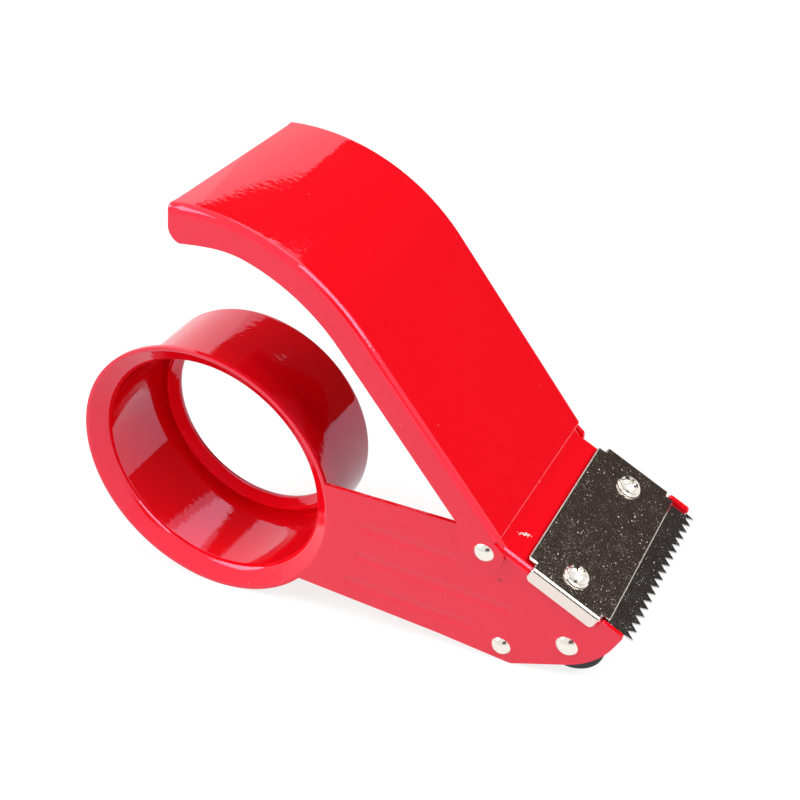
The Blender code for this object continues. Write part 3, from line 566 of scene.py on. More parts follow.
def red_enamel(name, peel_size, chips=()):
    """Sprayed gloss enamel on pressed steel: orange peel breaks up the edges of its reflections."""
    material, tree, shader = finish_for(name, ENAMEL, ENAMEL_ROUGHNESS, IOR=ENAMEL_IOR,
                                        Specular_Tint=ENAMEL_TINT)
    place = add(tree, "TexCoord").outputs["Object"]
    peel = add(tree, "TexNoise", {"Vector": place, "Scale": 1 / peel_size, "Detail": 1.0, "Roughness": 0.4})
    # the peel rises about half of its height in half of its size
    bump = add(tree, "Bump", {"Height": peel, "Strength": 1.0, "Distance": PEEL_SLOPE * peel_size})
    wave = add(tree, "TexNoise", {"Vector": place, "Scale": 1 / SWAY_SIZE, "Detail": 0.0})
    sway = add(tree, "Bump", {"Height": wave, "Strength": 1.0, "Distance": SWAY_DEPTH, "Normal": bump})
    tree.links.new(sway.outputs[0], shader.inputs["Normal"])

    # pale pink spots where dust nibs and pinholes are, painted as the highlight they catch
    distance, _, some = scattered(tree, place, NIB_SPACING, NIB_SHARE)
    near = add(tree, "Math", {0: distance, 1: NIB_REACH}, operation="LESS_THAN")
    nib_glint = add(tree, "Math", {0: near, 1: some}, operation="MULTIPLY")
    # a colour mix has its colours in sockets 6 and 7, and gives the outcome in 2
    shown = add(tree, "Mix", {0: nib_glint, 6: linear(ENAMEL), 7: linear(NIB_GLINT_COLOUR)}, data_type="RGBA")
    for centre, along, length, width, bare_and_shade_colour in chips:
        # a long spot of its colour with a ragged rim: bare colour for the strip's chip, painted shade for the
        # plate's pit
        turn = Vector(along).to_track_quat("X", "Z").to_euler()
        local = add(tree, "Mapping", {"Vector": place, "Location": centre, "Rotation": turn,
                                      "Scale": (length / 2, width / 2, length / 2)}, vector_type="TEXTURE")
        distance = add(tree, "VectorMath", {0: local}, operation="LENGTH")
        ragged = add(tree, "TexNoise", {"Vector": place, "Scale": 1 / CHIP_GRAIN, "Detail": 2.0})
        rim = add(tree, "Math", {0: ragged, 1: CHIP_RAGGED, 2: distance.outputs["Value"]},
                  operation="MULTIPLY_ADD")
        inside = add(tree, "Math", {0: rim, 1: CHIP_RIM}, operation="LESS_THAN")
        shown = add(tree, "Mix", {0: inside, 6: shown.outputs[2], 7: linear(bare_and_shade_colour)}, data_type="RGBA")
    tree.links.new(shown.outputs[2], shader.inputs["Base Color"])
    return material


def nickel_plate(name, colour, roughness, grain, pit_share):
    """Nickel plating: a mirror with a fine dull grain, and pits that catch light from all round."""
    material, tree, shader = finish_for(name, colour, roughness, 1.0)
    place = add(tree, "TexCoord").outputs["Object"]
    dulled = roughness
    if grain:
        fine = add(tree, "TexNoise", {"Vector": place, "Scale": 1 / GRAIN_SIZE, "Detail": 2.0,
                                      "Roughness": 0.7})
        cloud = add(tree, "TexNoise", {"Vector": place, "Scale": 1 / CLOUD_SIZE, "Detail": 2.0})
        both = add(tree, "Math", {0: cloud, 1: CLOUD_WEIGHT, 2: fine}, operation="MULTIPLY_ADD")
        dulled = add(tree, "MapRange", {"Value": both, "From Min": GRAIN_BRIGHT, "From Max": GRAIN_DULL,
                                        "To Min": roughness, "To Max": roughness + grain})
    distance, chance, some = scattered(tree, place, PIT_SPACING, pit_share)
    size = add(tree, "Math", {0: chance[1], 1: PIT_POWER}, operation="POWER")
    reach = add(tree, "MapRange", {"Value": size, "To Min": PIT_REACH[0], "To Max": PIT_REACH[1]})
    near = add(tree, "Math", {0: distance, 1: reach}, operation="LESS_THAN")
    pit = add(tree, "Math", {0: near, 1: some}, operation="MULTIPLY")
    dull = add(tree, "MapRange", {"Value": chance[2], "To Min": PIT_ROUGHNESS[0], "To Max": PIT_ROUGHNESS[1]})
    rough = add(tree, "Mix", {0: pit, 2: dulled, 3: dull})
    tree.links.new(rough.outputs[0], shader.inputs["Roughness"])
    return material


# One finish for each slot
finishes = {
    "frame_enamel": red_enamel("gloss_red_enamel_on_pressed_steel", FRAME_PEEL_SIZE,
                               (STRIP_CHIP, SHADED_PLATE_CHIP)),
    "handle_enamel": red_enamel("red_enamel_with_orange_peel", HANDLE_PEEL_SIZE),
    "dark_nickel": nickel_plate("pitted_nickel_plate", "#DFD6CE", roughness=0.08, grain=0.24, pit_share=0.30),
    "blade_steel": nickel_plate("plated_blade_steel", "#C8C8CA", roughness=0.08, grain=0.22, pit_share=0.22),
    "bright_nickel": nickel_plate("bright_nickel_plate", "#E8E4DC", roughness=0.11, grain=0, pit_share=0.02),
    "zinc_steel": nickel_plate("zinc_plated_steel", "#C6C8CA", roughness=0.25, grain=0.15, pit_share=0.05),
    "nylon": finish_for("white_nylon", "#E2DED2", roughness=0.45)[0],
    "rubber": finish_for("black_moulded_rubber", "#17171A", roughness=0.55)[0],
}


# Frame

def panel_moves(w):
    """Start and moves of a line w above the panel's face, from the strip's end to the folds' front end."""
    knee = (strip_point(KNEE_TANGENT, KNEE_R), HANDLE_SLOPE - HEAD_SLOPE, CORNER_STEPS)
    return strip_point(STRIP_LENGTH, w), [strip_point(KNEE_TANGENT, w), knee, head_point(PANEL_FOLD_END, w)]


def head_front(ear_rise):
    """Circles of a side plate's outline, from the foot round the chin and the ear to the fold."""
    top = ear_rise - EAR_R
    ear = head_point(PANEL_FOLD_END + EAR_R, top)
    tip = head_point(PANEL_FOLD_END + EAR_LENGTH - EAR_R, top)
    return [(FOOT_X, GROUND + FOOT_R, FOOT_R), (CHIN_X, GROUND + CHIN_HEIGHT, CHIN_R),
            (*tip, EAR_R), (*ear, EAR_R), (*head_point(PANEL_FOLD_END, -FOLD_R), 0)]


def drum_moves():
    """Start and moves of the drum's inner face, as (y, radius), from the side plate to its free edge."""
    ease = CREASE_SOFT_R * tan(FLARE_ANGLE / 2)
    crease = ((CREASE_SOFT_R, CREASE_R + ease), FLARE_ANGLE, CORNER_STEPS)
    turn = pi / 2 - FLARE_ANGLE
    bend_y = ((CREASE_R - WALL_INNER_R - FLARE_BEND_R * (1 - cos(turn))) * tan(FLARE_ANGLE)
              + FLARE_BEND_R * sin(turn))
    bend = (bend_y, WALL_INNER_R + FLARE_BEND_R)
    corner = DRUM_CORNER_INNER_R + SHEET
    curl = (DRUM_DEPTH - CURL_INNER_R - SHEET, DRUM_R - LIP_WIDTH + CURL_INNER_R + SHEET)
    curl_end = (curl[0] - CURL_INNER_R * sin(CURL_ANGLE), curl[1] - CURL_INNER_R * cos(CURL_ANGLE))
    run = curl_end[0] - (DRUM_DEPTH - CURL_BACK)
    moves = [crease,
             (bend[0] - FLARE_BEND_R * sin(turn), bend[1] - FLARE_BEND_R * cos(turn)),
             (bend, turn, FLARE_STEPS),
             (DRUM_DEPTH - corner, WALL_INNER_R),
             ((DRUM_DEPTH - corner, DRUM_R - corner), -pi / 2, CORNER_STEPS),
             (DRUM_DEPTH - SHEET, curl[1]),
             (curl, -pi / 2 - CURL_ANGLE, CORNER_STEPS),
             (DRUM_DEPTH - CURL_BACK, curl_end[1] + run * tan(CURL_ANGLE))]
    return (0, CREASE_R + ease), moves


def draw_rib(mesh, angle, length, half_width, depth):
    """Round-ended line of a rib at one depth, running down at the rib's slope."""
    start = (RIB_START_R * cos(angle), RIB_START_R * sin(angle))
    end = (start[0] + length * cos(RIB_SLOPE), start[1] - length * sin(RIB_SLOPE))
    side = (half_width * sin(RIB_SLOPE), half_width * cos(RIB_SLOPE))
    return draw(mesh, side_plane(depth), (start[0] + side[0], start[1] + side[1]),
                [(start, pi, 2 * CORNER_STEPS), (end[0] - side[0], end[1] - side[1]),
                 (end, pi, 2 * CORNER_STEPS)], closed=True)


def press_rib(mesh, angle, length):
    """Rib pressed into the plate with soft edges; returns its outline in the plate."""
    lines = []
    for i in range(RIB_STEPS + 1):
        share = i / RIB_STEPS
        half_width = RIB_HALF_WIDTH - RIB_EDGE * share
        lines.append(draw_rib(mesh, angle, length, half_width, RIB_DEPTH * smooth_share(share)))
    bridge(mesh, [line + [line[0]] for line in lines])
    fill(mesh, [lines[-1]], (0, -1, 0))
    return lines[0]


def make_frame():
    """Side plate, drum, panel and far cheek, pressed from one sheet."""
    mesh = bmesh.new()

    # Drum, spun from the side plate
    start, moves = drum_moves()
    draw(mesh, axle_plane, start, moves)
    spin_round(mesh, (0, -1, 0), RING_STEPS)

    # Near side plate, with the drum's opening, its ribs and its holes
    plate = side_plane(0)
    stops = head_front(EAR_RISE)
    bottom = rim_point(PLATE_BOTTOM_ANGLE)
    bend = (EDGE_BEND_X, GROUND + EDGE_BEND_HEIGHT)
    fold_start = strip_point(STRIP_LENGTH, -FOLD_R)
    up_fold = [head_point(PANEL_FOLD_END, -FOLD_R), head_point(KNEE_TANGENT, -FOLD_R),
               (strip_point(KNEE_TANGENT, KNEE_R), HEAD_SLOPE - HANDLE_SLOPE, CORNER_STEPS), fold_start]
    rim = [rim_point(PLATE_TOP_ANGLE), ((0, 0), 2 * pi + PLATE_BOTTOM_ANGLE - PLATE_TOP_ANGLE, RING_STEPS)]
    outline = draw(mesh, plate, bottom, [bend] + belt([(*bend, 0)] + stops) + up_fold + rim, closed=True)
    ribs = [press_rib(mesh, RIB_FIRST_ANGLE + RIB_ANGLE_STEP * i, (KNEE_X - RIM_R) * share)
            for i, share in enumerate(RIB_LENGTH_SHARES)]
    opening = draw_circle(mesh, plate, (0, 0), start[1], RING_STEPS)
    fill(mesh, [outline, opening] + ribs + draw_holes(mesh, plate, PLATE_PINS), (0, -1, 0))

    # Far cheek
    far_plate = side_plane(FRAME_WIDTH)
    rise = (bottom[1] - GROUND) / (FOOT_X - bottom[0])
    low_x = CHEEK_BOTTOM_X + CHEEK_CORNER_R
    rear_low = (low_x, GROUND + (FOOT_X - low_x) * rise + CHEEK_CORNER_R, CHEEK_CORNER_R)
    rear_top = (CHEEK_TOP_X + CHEEK_CORNER_R, fold_start[1] - CHEEK_CORNER_R, CHEEK_CORNER_R)
    stops = head_front(FAR_EAR_RISE)
    rear = belt([(*fold_start, 0), rear_top, rear_low, stops[0]])
    cheek = draw(mesh, far_plate, fold_start, rear + belt([rear_low] + stops) + up_fold, closed=True)
    fill(mesh, [cheek] + draw_holes(mesh, far_plate, PLATE_PINS), (0, 1, 0))

    # Folds up to the panel
    near_lines = []
    far_lines = []
    for i in range(FOLD_STEPS + 1):
        bend_angle = pi / 2 * i / FOLD_STEPS
        y = FOLD_R * (1 - cos(bend_angle))
        start, moves = panel_moves(FOLD_R * (sin(bend_angle) - 1))
        near_lines.append(draw(mesh, side_plane(y), start, moves))
        far_lines.append(draw(mesh, side_plane(FRAME_WIDTH - y), start, moves))
    bridge(mesh, near_lines)
    bridge(mesh, far_lines)

    # Strip under the handle and the knee, then the sloping panel with its tongue and the screws' holes
    bridge(mesh, [near_lines[-1][:-1], far_lines[-1][:-1]])
    knee_end = near_lines[-1][-2].co
    corners = [(knee_end.x, knee_end.z), head_point(PANEL_FOLD_END, 0),
               head_point(PANEL_FOLD_END + TONGUE_LENGTH, 0)]
    loop = [mesh.verts.new((x, FOLD_R, z)) for x, z in corners]
    loop += [mesh.verts.new((x, FRAME_WIDTH - FOLD_R, z)) for x, z in reversed(corners)]
    for pair in zip(loop, loop[1:] + loop[:1]):
        mesh.edges.new(pair)
    holes = draw_holes(mesh, panel_plane, PANEL_PINS)
    fill(mesh, [loop] + holes, (sin(HEAD_SLOPE), 0, cos(HEAD_SLOPE)))

    face_outwards(mesh, (0, -1, 0))
    piece = put("pressed_frame", "side_frame", mesh, SET_DOWN, "frame_enamel")
    give_wall(piece, SHEET)
    round_edges(piece, ENAMELLED_EDGE)


# Handle, drawn from the lower end of its top face: X down the slope, Z off the face

def handle_point(s, depth):
    """Point s up the handle from its lower end, and depth below its top face."""
    if s <= HANDLE_STRAIGHT:
        return -s, -depth
    turn = (s - HANDLE_STRAIGHT) / HANDLE_ARC_R
    reach = HANDLE_ARC_R - depth
    return -HANDLE_STRAIGHT - reach * sin(turn), -HANDLE_ARC_R + reach * cos(turn)


def fold_radius(s, near):
    """Radius of the handle's folds; the near one widens towards the rear and closes again at the end."""
    if not near:
        return FOLD_R
    share = smooth_share((s - HANDLE_END + REAR_FOLD_GROWTH) / REAR_FOLD_GROWTH)
    return FOLD_R + (REAR_FOLD_R - FOLD_R) * share * smooth_share((HANDLE_END - s) / REAR_EASE)


def handle_steps():
    """Distances between the cross-sections of the straight part, the first for the rolled lower end."""
    step = (HANDLE_STRAIGHT - HANDLE_END_ROLL_LENGTH) / (HANDLE_ROWS_STRAIGHT - 1)
    return [HANDLE_END_ROLL_LENGTH] + [step] * (HANDLE_ROWS_STRAIGHT - 1)


def handle_rows():
    """Places along the handle at which its cross-section is drawn."""
    straight = [sum(handle_steps()[:i]) for i in range(HANDLE_ROWS_STRAIGHT)]
    return straight + [HANDLE_STRAIGHT + HANDLE_ARC_R * HANDLE_ARC * i / HANDLE_ROWS_ARC
                       for i in range(HANDLE_ROWS_ARC + 1)]


def rear_shift(s, y):
    """How far a point of the top moves down the handle, so that its rear edge is set back and skewed."""
    share = smooth_share((s - HANDLE_END + REAR_SHIFT_LENGTH) / REAR_SHIFT_LENGTH)
    inset = min(y - HANDLE_NEAR, HANDLE_FAR - y)
    setback = REAR_SETBACK * smooth_share((inset - FOLD_R) / REAR_EASE)
    return share * (setback + REAR_SKEW * (y - HANDLE_NEAR) / (HANDLE_FAR - HANDLE_NEAR))


def flange_moves(end):
    """Start and moves of a flange's free edge as (s, depth), from its rear end to the fold's lower end."""
    corner_depth = FLANGE_DEPTH + FLANGE_REAR_DROP - REAR_CORNER_R
    touch_depth = corner_depth - REAR_CORNER_R * sin(REAR_LEAN)
    corner_s = end + (touch_depth - FOLD_R) * tan(REAR_LEAN) - REAR_CORNER_R * cos(REAR_LEAN)
    edge = []
    for i in range(CORNER_STEPS + 1):
        angle = -REAR_LEAN + (pi / 2 + REAR_LEAN) * i / CORNER_STEPS
        edge.append((corner_s + REAR_CORNER_R * cos(angle), corner_depth + REAR_CORNER_R * sin(angle)))
    for s in reversed(handle_rows()):
        if TAB_JOIN < s < corner_s:
            share = smooth_share((s - end + FLANGE_GROWTH) / FLANGE_GROWTH)
            edge.append((s, FLANGE_DEPTH + FLANGE_REAR_DROP * share))
    edge.append((TAB_JOIN, FLANGE_DEPTH))
    rivet = (-RIVET_DROP, RIVET_DEPTH)
    away = (TAB_JOIN - rivet[0], FLANGE_DEPTH - rivet[1])
    touch = atan2(away[1], away[0]) + acos(TAB_R / hypot(*away))
    for i in range(3 * CORNER_STEPS + 1):
        angle = touch + (TAB_END_ANGLE - touch) * i / (3 * CORNER_STEPS)
        edge.append((rivet[0] + TAB_R * cos(angle), rivet[1] + TAB_R * sin(angle)))
    edge.append((-TAB_NOTCH, TAB_SHOULDER))
    return edge


def along_section(vert):
    """Order of a section's vertices, from the near fold over the top to the far one."""
    return round(vert.co.y / MERGE), vert.co.z if vert.co.y < MIDDLE else -vert.co.z


def make_handle():
    """Channel handle: a top swept along the handle's line, with a flange down each side."""
    mesh = bmesh.new()

    # Cross-section of the top and its folds, pulled up the straight part and turned round the arc
    moves = [((HANDLE_NEAR + FOLD_R, -FOLD_R), -pi / 2, FOLD_STEPS)]
    width = HANDLE_FAR - HANDLE_NEAR - 2 * FOLD_R
    moves += [(HANDLE_NEAR + FOLD_R + width * (i + 1) / HANDLE_ROWS_ACROSS, 0)
              for i in range(HANDLE_ROWS_ACROSS)]
    moves += [((HANDLE_FAR - FOLD_R, -FOLD_R), -pi / 2, FOLD_STEPS)]
    section = draw(mesh, cross_plane, (HANDLE_NEAR, -FOLD_R), moves)
    for step in handle_steps():
        extruded = bmesh.ops.extrude_edge_only(mesh, edges=line_edges(mesh, section))
        section = sorted(carry(mesh, extruded, (-step, 0, 0)), key=along_section)
    bmesh.ops.spin(mesh, geom=section + line_edges(mesh, section), axis=(0, -1, 0), angle=HANDLE_ARC,
                   cent=(-HANDLE_STRAIGHT, 0, -HANDLE_ARC_R), steps=HANDLE_ROWS_ARC)

    # Widen the near fold towards the rear, roll the lower end, and set the rear edge back
    for vert in mesh.verts:
        x, y, z = vert.co
        s, depth = -x, -z
        if s > HANDLE_STRAIGHT:
            back, up = s - HANDLE_STRAIGHT, z + HANDLE_ARC_R
            s = HANDLE_STRAIGHT + atan2(back, up) * HANDLE_ARC_R
            depth = HANDLE_ARC_R - hypot(back, up)
        radius = fold_radius(s, y < MIDDLE)
        inset = min(y - HANDLE_NEAR, HANDLE_FAR - y)
        if inset < FOLD_R:
            depth *= radius / FOLD_R
            inset *= radius / FOLD_R
        else:
            half = (HANDLE_FAR - HANDLE_NEAR) / 2
            inset = half - (half - inset) * (half - radius) / (half - FOLD_R)
        if s < MERGE:
            depth += HANDLE_END_ROLL * (1 - depth / radius)
        place = HANDLE_NEAR + inset if y < MIDDLE else HANDLE_FAR - inset
        x, z = handle_point(s - rear_shift(s, place), depth)
        vert.co = (x, place, z)

    # Flanges with their rivet holes
    for y, skew, out in ((HANDLE_NEAR, 0, -1), (HANDLE_FAR, REAR_SKEW, 1)):
        plane = side_plane(y)
        fold = [handle_point(s - rear_shift(s, y), fold_radius(s, out < 0)) for s in handle_rows()]
        free = [handle_point(s, depth) for s, depth in flange_moves(HANDLE_END - skew)]
        loop = draw(mesh, plane, fold[0], fold[1:] + free, closed=True)
        holes = draw_holes(mesh, plane, [(handle_point(-RIVET_DROP, RIVET_DEPTH), RIVET_R)])
        fill(mesh, [loop] + holes, (0, out, 0))

    face_outwards(mesh, (0, 0, 1))
    piece = put("channel_handle", "handle", mesh, ON_HANDLE, "handle_enamel")
    give_wall(piece, SHEET)
    round_edges(piece, HANDLE_EDGE, HANDLE_EDGE_STEPS)


# Head fittings, drawn from the knee: X down the panel, Z off its face

def make_cover():
    """Plated cover with notched corners and a side folded down over each side plate."""
    mesh = bmesh.new()
    near = -GAP - PLATED_SHEET
    first = COVER_REAR + COVER_NOTCH
    last = COVER_FRONT - COVER_NOTCH
    quarter = pi / 2
    rear_in = COVER_REAR_INSET
    front_in = COVER_FRONT_INSET
    r = COVER_CORNER_R
    wide = FRAME_WIDTH
    fold_y = near + COVER_FOLD_R
    moves = [((COVER_REAR + r, rear_in + r), quarter, CORNER_STEPS), (first, rear_in), (first, fold_y),
             (last, fold_y), (last, front_in), (COVER_FRONT - r, front_in),
             ((COVER_FRONT - r, front_in + r), quarter, CORNER_STEPS), (COVER_FRONT, wide - front_in - r),
             ((COVER_FRONT - r, wide - front_in - r), quarter, CORNER_STEPS), (last, wide - front_in),
             (last, wide - fold_y), (first, wide - fold_y), (first, wide - rear_in),
             (COVER_REAR + r, wide - rear_in), ((COVER_REAR + r, wide - rear_in - r), quarter, CORNER_STEPS)]
    top = level_plane(COVER_TOP)
    outline = draw(mesh, top, (COVER_REAR, rear_in + r), moves, closed=True)
    fill(mesh, [outline] + draw_holes(mesh, top, PANEL_PINS), (0, 0, 1))

    # Sides: an edge turned round the fold, then pulled down, with round lower corners
    for fold, turn in ((fold_y, -1), (wide - fold_y, 1)):
        edge = [e for e in mesh.edges if all(abs(v.co.y - fold) < MERGE for v in e.verts)][0]
        turned = bmesh.ops.spin(mesh, geom=list(edge.verts) + [edge], axis=(1, 0, 0), angle=-turn * pi / 2,
                                cent=(0, fold, COVER_TOP - COVER_FOLD_R), steps=FOLD_STEPS)
        hem = [item for item in turned["geom_last"] if isinstance(item, bmesh.types.BMEdge)]
        low = carry(mesh, bmesh.ops.extrude_edge_only(mesh, edges=hem), (0, 0, COVER_FOLD_R - COVER_FLANGE))
        bmesh.ops.bevel(mesh, geom=low, offset=COVER_FLANGE_CORNER_R, affect="VERTICES",
                        segments=CORNER_STEPS, profile=0.5, material=-1)

    face_outwards(mesh, (0, 0, 1))
    mesh = solid_sheet(mesh, PLATED_SHEET, PLATED_EDGE)
    # The rear edge is rolled down less than the others
    for vert in mesh.verts:
        rolled = abs(COVER_TOP - PLATED_EDGE - vert.co.z) < MERGE
        if rolled and vert.co.x < SCREW_U and vert.co.y > near + SHEET:
            vert.co.z = COVER_TOP - REAR_EDGE_DROP
    piece = put("plated_cover", "cover_plate", mesh, ON_HEAD, "dark_nickel", smooth_angle=FACET_ANGLE)
    keep_flat(piece)


def make_blade():
    """Flat blade with as many teeth as fit between the ears."""
    mesh = bmesh.new()
    side = SHEET + BLADE_CLEARANCE
    steps = int((FRAME_WIDTH - 2 * side) // TOOTH_PITCH)
    first_tip = MIDDLE - TOOTH_PITCH * steps / 2
    rear = COVER_REAR + BLADE_TUCK
    valley = BLADE_TIP - TOOTH_DEPTH
    moves = [(valley, side)]
    for i in range(steps):
        moves += [(BLADE_TIP, first_tip + TOOTH_PITCH * i), (valley, first_tip + TOOTH_PITCH * (i + 0.5))]
    moves += [(BLADE_TIP, first_tip + TOOTH_PITCH * steps), (valley, FRAME_WIDTH - side),
              (rear, FRAME_WIDTH - side)]
    outline = draw(mesh, level_plane(GAP), (rear, side), moves, closed=True)
    fill(mesh, [outline], (0, 0, -1))
    roots = [vert for vert in mesh.verts
             if abs(vert.co.x - valley) < MERGE and 2 * side < vert.co.y < FRAME_WIDTH - 2 * side]
    bmesh.ops.dissolve_limit(mesh, angle_limit=FLAT_ANGLE, verts=mesh.verts, edges=mesh.edges)
    bmesh.ops.bevel(mesh, geom=roots, offset=TOOTH_ROOT_R, affect="VERTICES", segments=TOOTH_ROOT_STEPS,
                    profile=0.5, material=-1)
    carry(mesh, bmesh.ops.extrude_face_region(mesh, geom=mesh.faces[:]), (0, 0, BLADE_TOP - GAP))
    bmesh.ops.triangulate(mesh, faces=[face for face in mesh.faces if len(face.verts) > 4])
    face_outwards(mesh)
    put("toothed_blade", "serrated_blade", mesh, ON_HEAD, "blade_steel")


def dome_moves(base, height, radius):
    """Moves over a domed head, from its edge to its top; a negative height faces backwards."""
    ball = (radius * radius + height * height) / (2 * abs(height))
    edge = asin(radius / ball)
    side = 1 if height > 0 else -1
    centre = (base + height - side * ball, 0)
    return (base, radius), (centre, -side * edge, 2 * CORNER_STEPS)


def make_lock_washer(side, seat):
    """Split washer: a section turned almost all the way round, rising a little."""
    mesh = bmesh.new()
    inner = SCREW_R + HOLE_CLEARANCE
    section = draw(mesh, upright_plane, (0, inner),
                   [(0, WASHER_R), (WASHER_SIDE, WASHER_R), (WASHER_THICKNESS, WASHER_R - WASHER_SLOPE),
                    (WASHER_THICKNESS, inner)], closed=True)
    angle = 2 * pi - 2 * WASHER_SPLIT / WASHER_R
    bmesh.ops.spin(mesh, geom=[mesh.faces.new(section)], cent=(0, 0, 0), axis=(0, 0, 1), angle=angle,
                   steps=FINE_STEPS, dvec=(0, 0, WASHER_RISE / FINE_STEPS))
    face_outwards(mesh)
    piece = put("split_washer_" + side, "lock_washer_" + side, mesh, seat, "bright_nickel")
    round_edges(piece, RECESS_EDGE)


def make_screw(side, y, turn):
    """Pan-head screw on its lock washer, which sits on the cover; a tapered cross cuts its recess."""
    seat = ON_HEAD @ Matrix.Translation((SCREW_U, y, COVER_TOP)) @ Matrix.Rotation(turn, 4, "Z")
    make_lock_washer(side, seat)

    mesh = bmesh.new()
    top = WASHER_THICKNESS + SCREW_HEAD_HEIGHT
    tail = -COVER_TOP - SHEET - GAP - NUT_THICKNESS - GAP - SCREW_TAIL
    moves = [(tail, SCREW_R), (WASHER_THICKNESS, SCREW_R), (WASHER_THICKNESS, SCREW_HEAD_R)]
    moves += dome_moves(top - SCREW_DOME, SCREW_DOME, SCREW_HEAD_R)
    draw(mesh, upright_plane, (tail, 0), moves)
    spin_round(mesh, (0, 0, 1))
    face_outwards(mesh)
    screw = loose_object("screw", mesh)
    mesh = bmesh.new()
    half, arm = RECESS_WIDTH / 2 * RECESS_FLOOR_SHARE, RECESS_SPAN / 2 * RECESS_FLOOR_SHARE
    moves = [(arm, half), (half, half), (half, arm), (-half, arm), (-half, half), (-arm, half),
             (-arm, -half), (-half, -half), (-half, -arm), (half, -arm), (half, -half)]
    cross = draw(mesh, level_plane(top - RECESS_DEPTH), (arm, -half), moves, closed=True)
    extruded = bmesh.ops.extrude_face_region(mesh, geom=[mesh.faces.new(cross)])
    risen = carry(mesh, extruded, (0, 0, RECESS_DEPTH))
    bmesh.ops.scale(mesh, verts=risen, vec=(1 / RECESS_FLOOR_SHARE, 1 / RECESS_FLOOR_SHARE, 1))
    face_outwards(mesh)
    cutter = loose_object("recess", mesh)
    recess = screw.modifiers.new("recess", "BOOLEAN")
    recess.operation = "DIFFERENCE"
    recess.solver = "EXACT"
    recess.object = cutter
    mesh = mesh_of(screw)
    bpy.data.objects.remove(screw)
    bpy.data.objects.remove(cutter)
    bmesh.ops.dissolve_degenerate(mesh, dist=MERGE, edges=mesh.edges)
    piece = put("cover_screw_pan_" + side, "cover_screw_" + side, mesh, seat, "bright_nickel")
    round_edges(piece, RECESS_EDGE)


def make_pin(name, node, radius, head, tail, place):
    """Round pin with a dome formed at each end; each dome is its place, height and radius."""
    mesh = bmesh.new()
    first = draw(mesh, axle_plane, (head[0], radius), dome_moves(*head))
    second = draw(mesh, axle_plane, (head[0], radius), [(tail[0], radius), *dome_moves(*tail)])
    bmesh.ops.remove_doubles(mesh, verts=[first[0], second[0]], dist=MERGE)
    spin_round(mesh, (0, 1, 0))
    face_outwards(mesh)
    put(name, node, mesh, set_down_at(place), "bright_nickel")


def make_rivet(side, y, out):
    """Domed rivet through the handle's flange and the side plate."""
    head = (y + out * HANDLE_TOP, out * RIVET_HEAD_HEIGHT, RIVET_HEAD_R)
    tail = (y - out * SHEET, -out * RIVET_TAIL_HEIGHT, RIVET_TAIL_R)
    make_pin("domed_rivet_" + side, "handle_rivet_" + side, RIVET_R, head, tail, HANDLE_RIVET)


def make_axle(name, node, radius, head_r, place):
    """Axle with a domed head formed over each side plate."""
    near = (0, -RIVET_HEAD_HEIGHT, head_r)
    far = (FRAME_WIDTH, RIVET_HEAD_HEIGHT, head_r)
    make_pin(name, node, radius, near, far, place)


def make_roller(name, node, inner, outer, edge, axle, finish, body):
    """Tube about an axle, with rounded outer edges."""
    mesh = bmesh.new()
    moves = [(ROLLER_START, outer - edge), ((ROLLER_START + edge, outer - edge), -pi / 2, CORNER_STEPS),
             (ROLLER_END - edge, outer), ((ROLLER_END - edge, outer - edge), -pi / 2, CORNER_STEPS),
             (ROLLER_END, inner)]
    draw(mesh, axle_plane, (ROLLER_START, inner), moves, closed=True)
    spin_round(mesh, (0, 1, 0))
    face_outwards(mesh)
    put(name, node, mesh, set_down_at(axle), finish, body)


make_frame()
make_handle()
make_cover()
make_blade()
make_screw("near", SCREW_PLACES[0], radians(20))
make_screw("far", SCREW_PLACES[1], radians(50))
make_rivet("near", 0, -1)
make_rivet("far", FRAME_WIDTH, 1)
make_axle("front_axle", "roller_axle", ROLLER_AXLE_R, ROLLER_AXLE_HEAD_R, ROLLER_AXLE)
make_axle("rear_axle", "guide_axle", GUIDE_AXLE_R, RIVET_HEAD_R, GUIDE_AXLE)
make_roller("rubber_tyre", "rubber_roller", CORE_R + GAP, RUBBER_R, RUBBER_EDGE_R, ROLLER_AXLE,
            "rubber", "front_roller")
make_roller("nylon_core", "roller_core", ROLLER_AXLE_R + RUNNING_CLEARANCE, CORE_R, GUIDE_EDGE_R, ROLLER_AXLE,
            "nylon", "front_roller")
make_roller("guide_tube", "guide_roller", GUIDE_AXLE_R + RUNNING_CLEARANCE, GUIDE_R, GUIDE_EDGE_R, GUIDE_AXLE,
            "zinc_steel", "rear_roller")

# CAD nodes that stay: the nuts and the spacers
for name in ("screw_nut_near", "screw_nut_far", "roller_spacer_near", "roller_spacer_far",
             "guide_spacer_near", "guide_spacer_far"):
    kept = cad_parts[name]
    kept.data.materials.clear()
    kept.data.materials.append(finishes["zinc_steel"])


# Studio

AIM_HEIGHT = 50 * MM        # of the point that the lamps look at
FLOOR_SIZE = 8
FLOOR_DROP = 0.2 * MM       # keeps the floor clear of the faces that stand on it
FLOOR_GREY = 0.28
FLOOR_GLOW = 0.8            # near the object, and 1 further away
GLOW_NEAR = 0.4
GLOW_FAR = 1.6
CARD_COLOUR = (1, 0.80, 0.68, 1)
BACK_DISTANCE = 0.66        # of the cards behind
SIDE_DISTANCE = 0.60
SKY_LIGHT = 0.08            # of the world on dull faces; to the camera and in mirrors it is 1


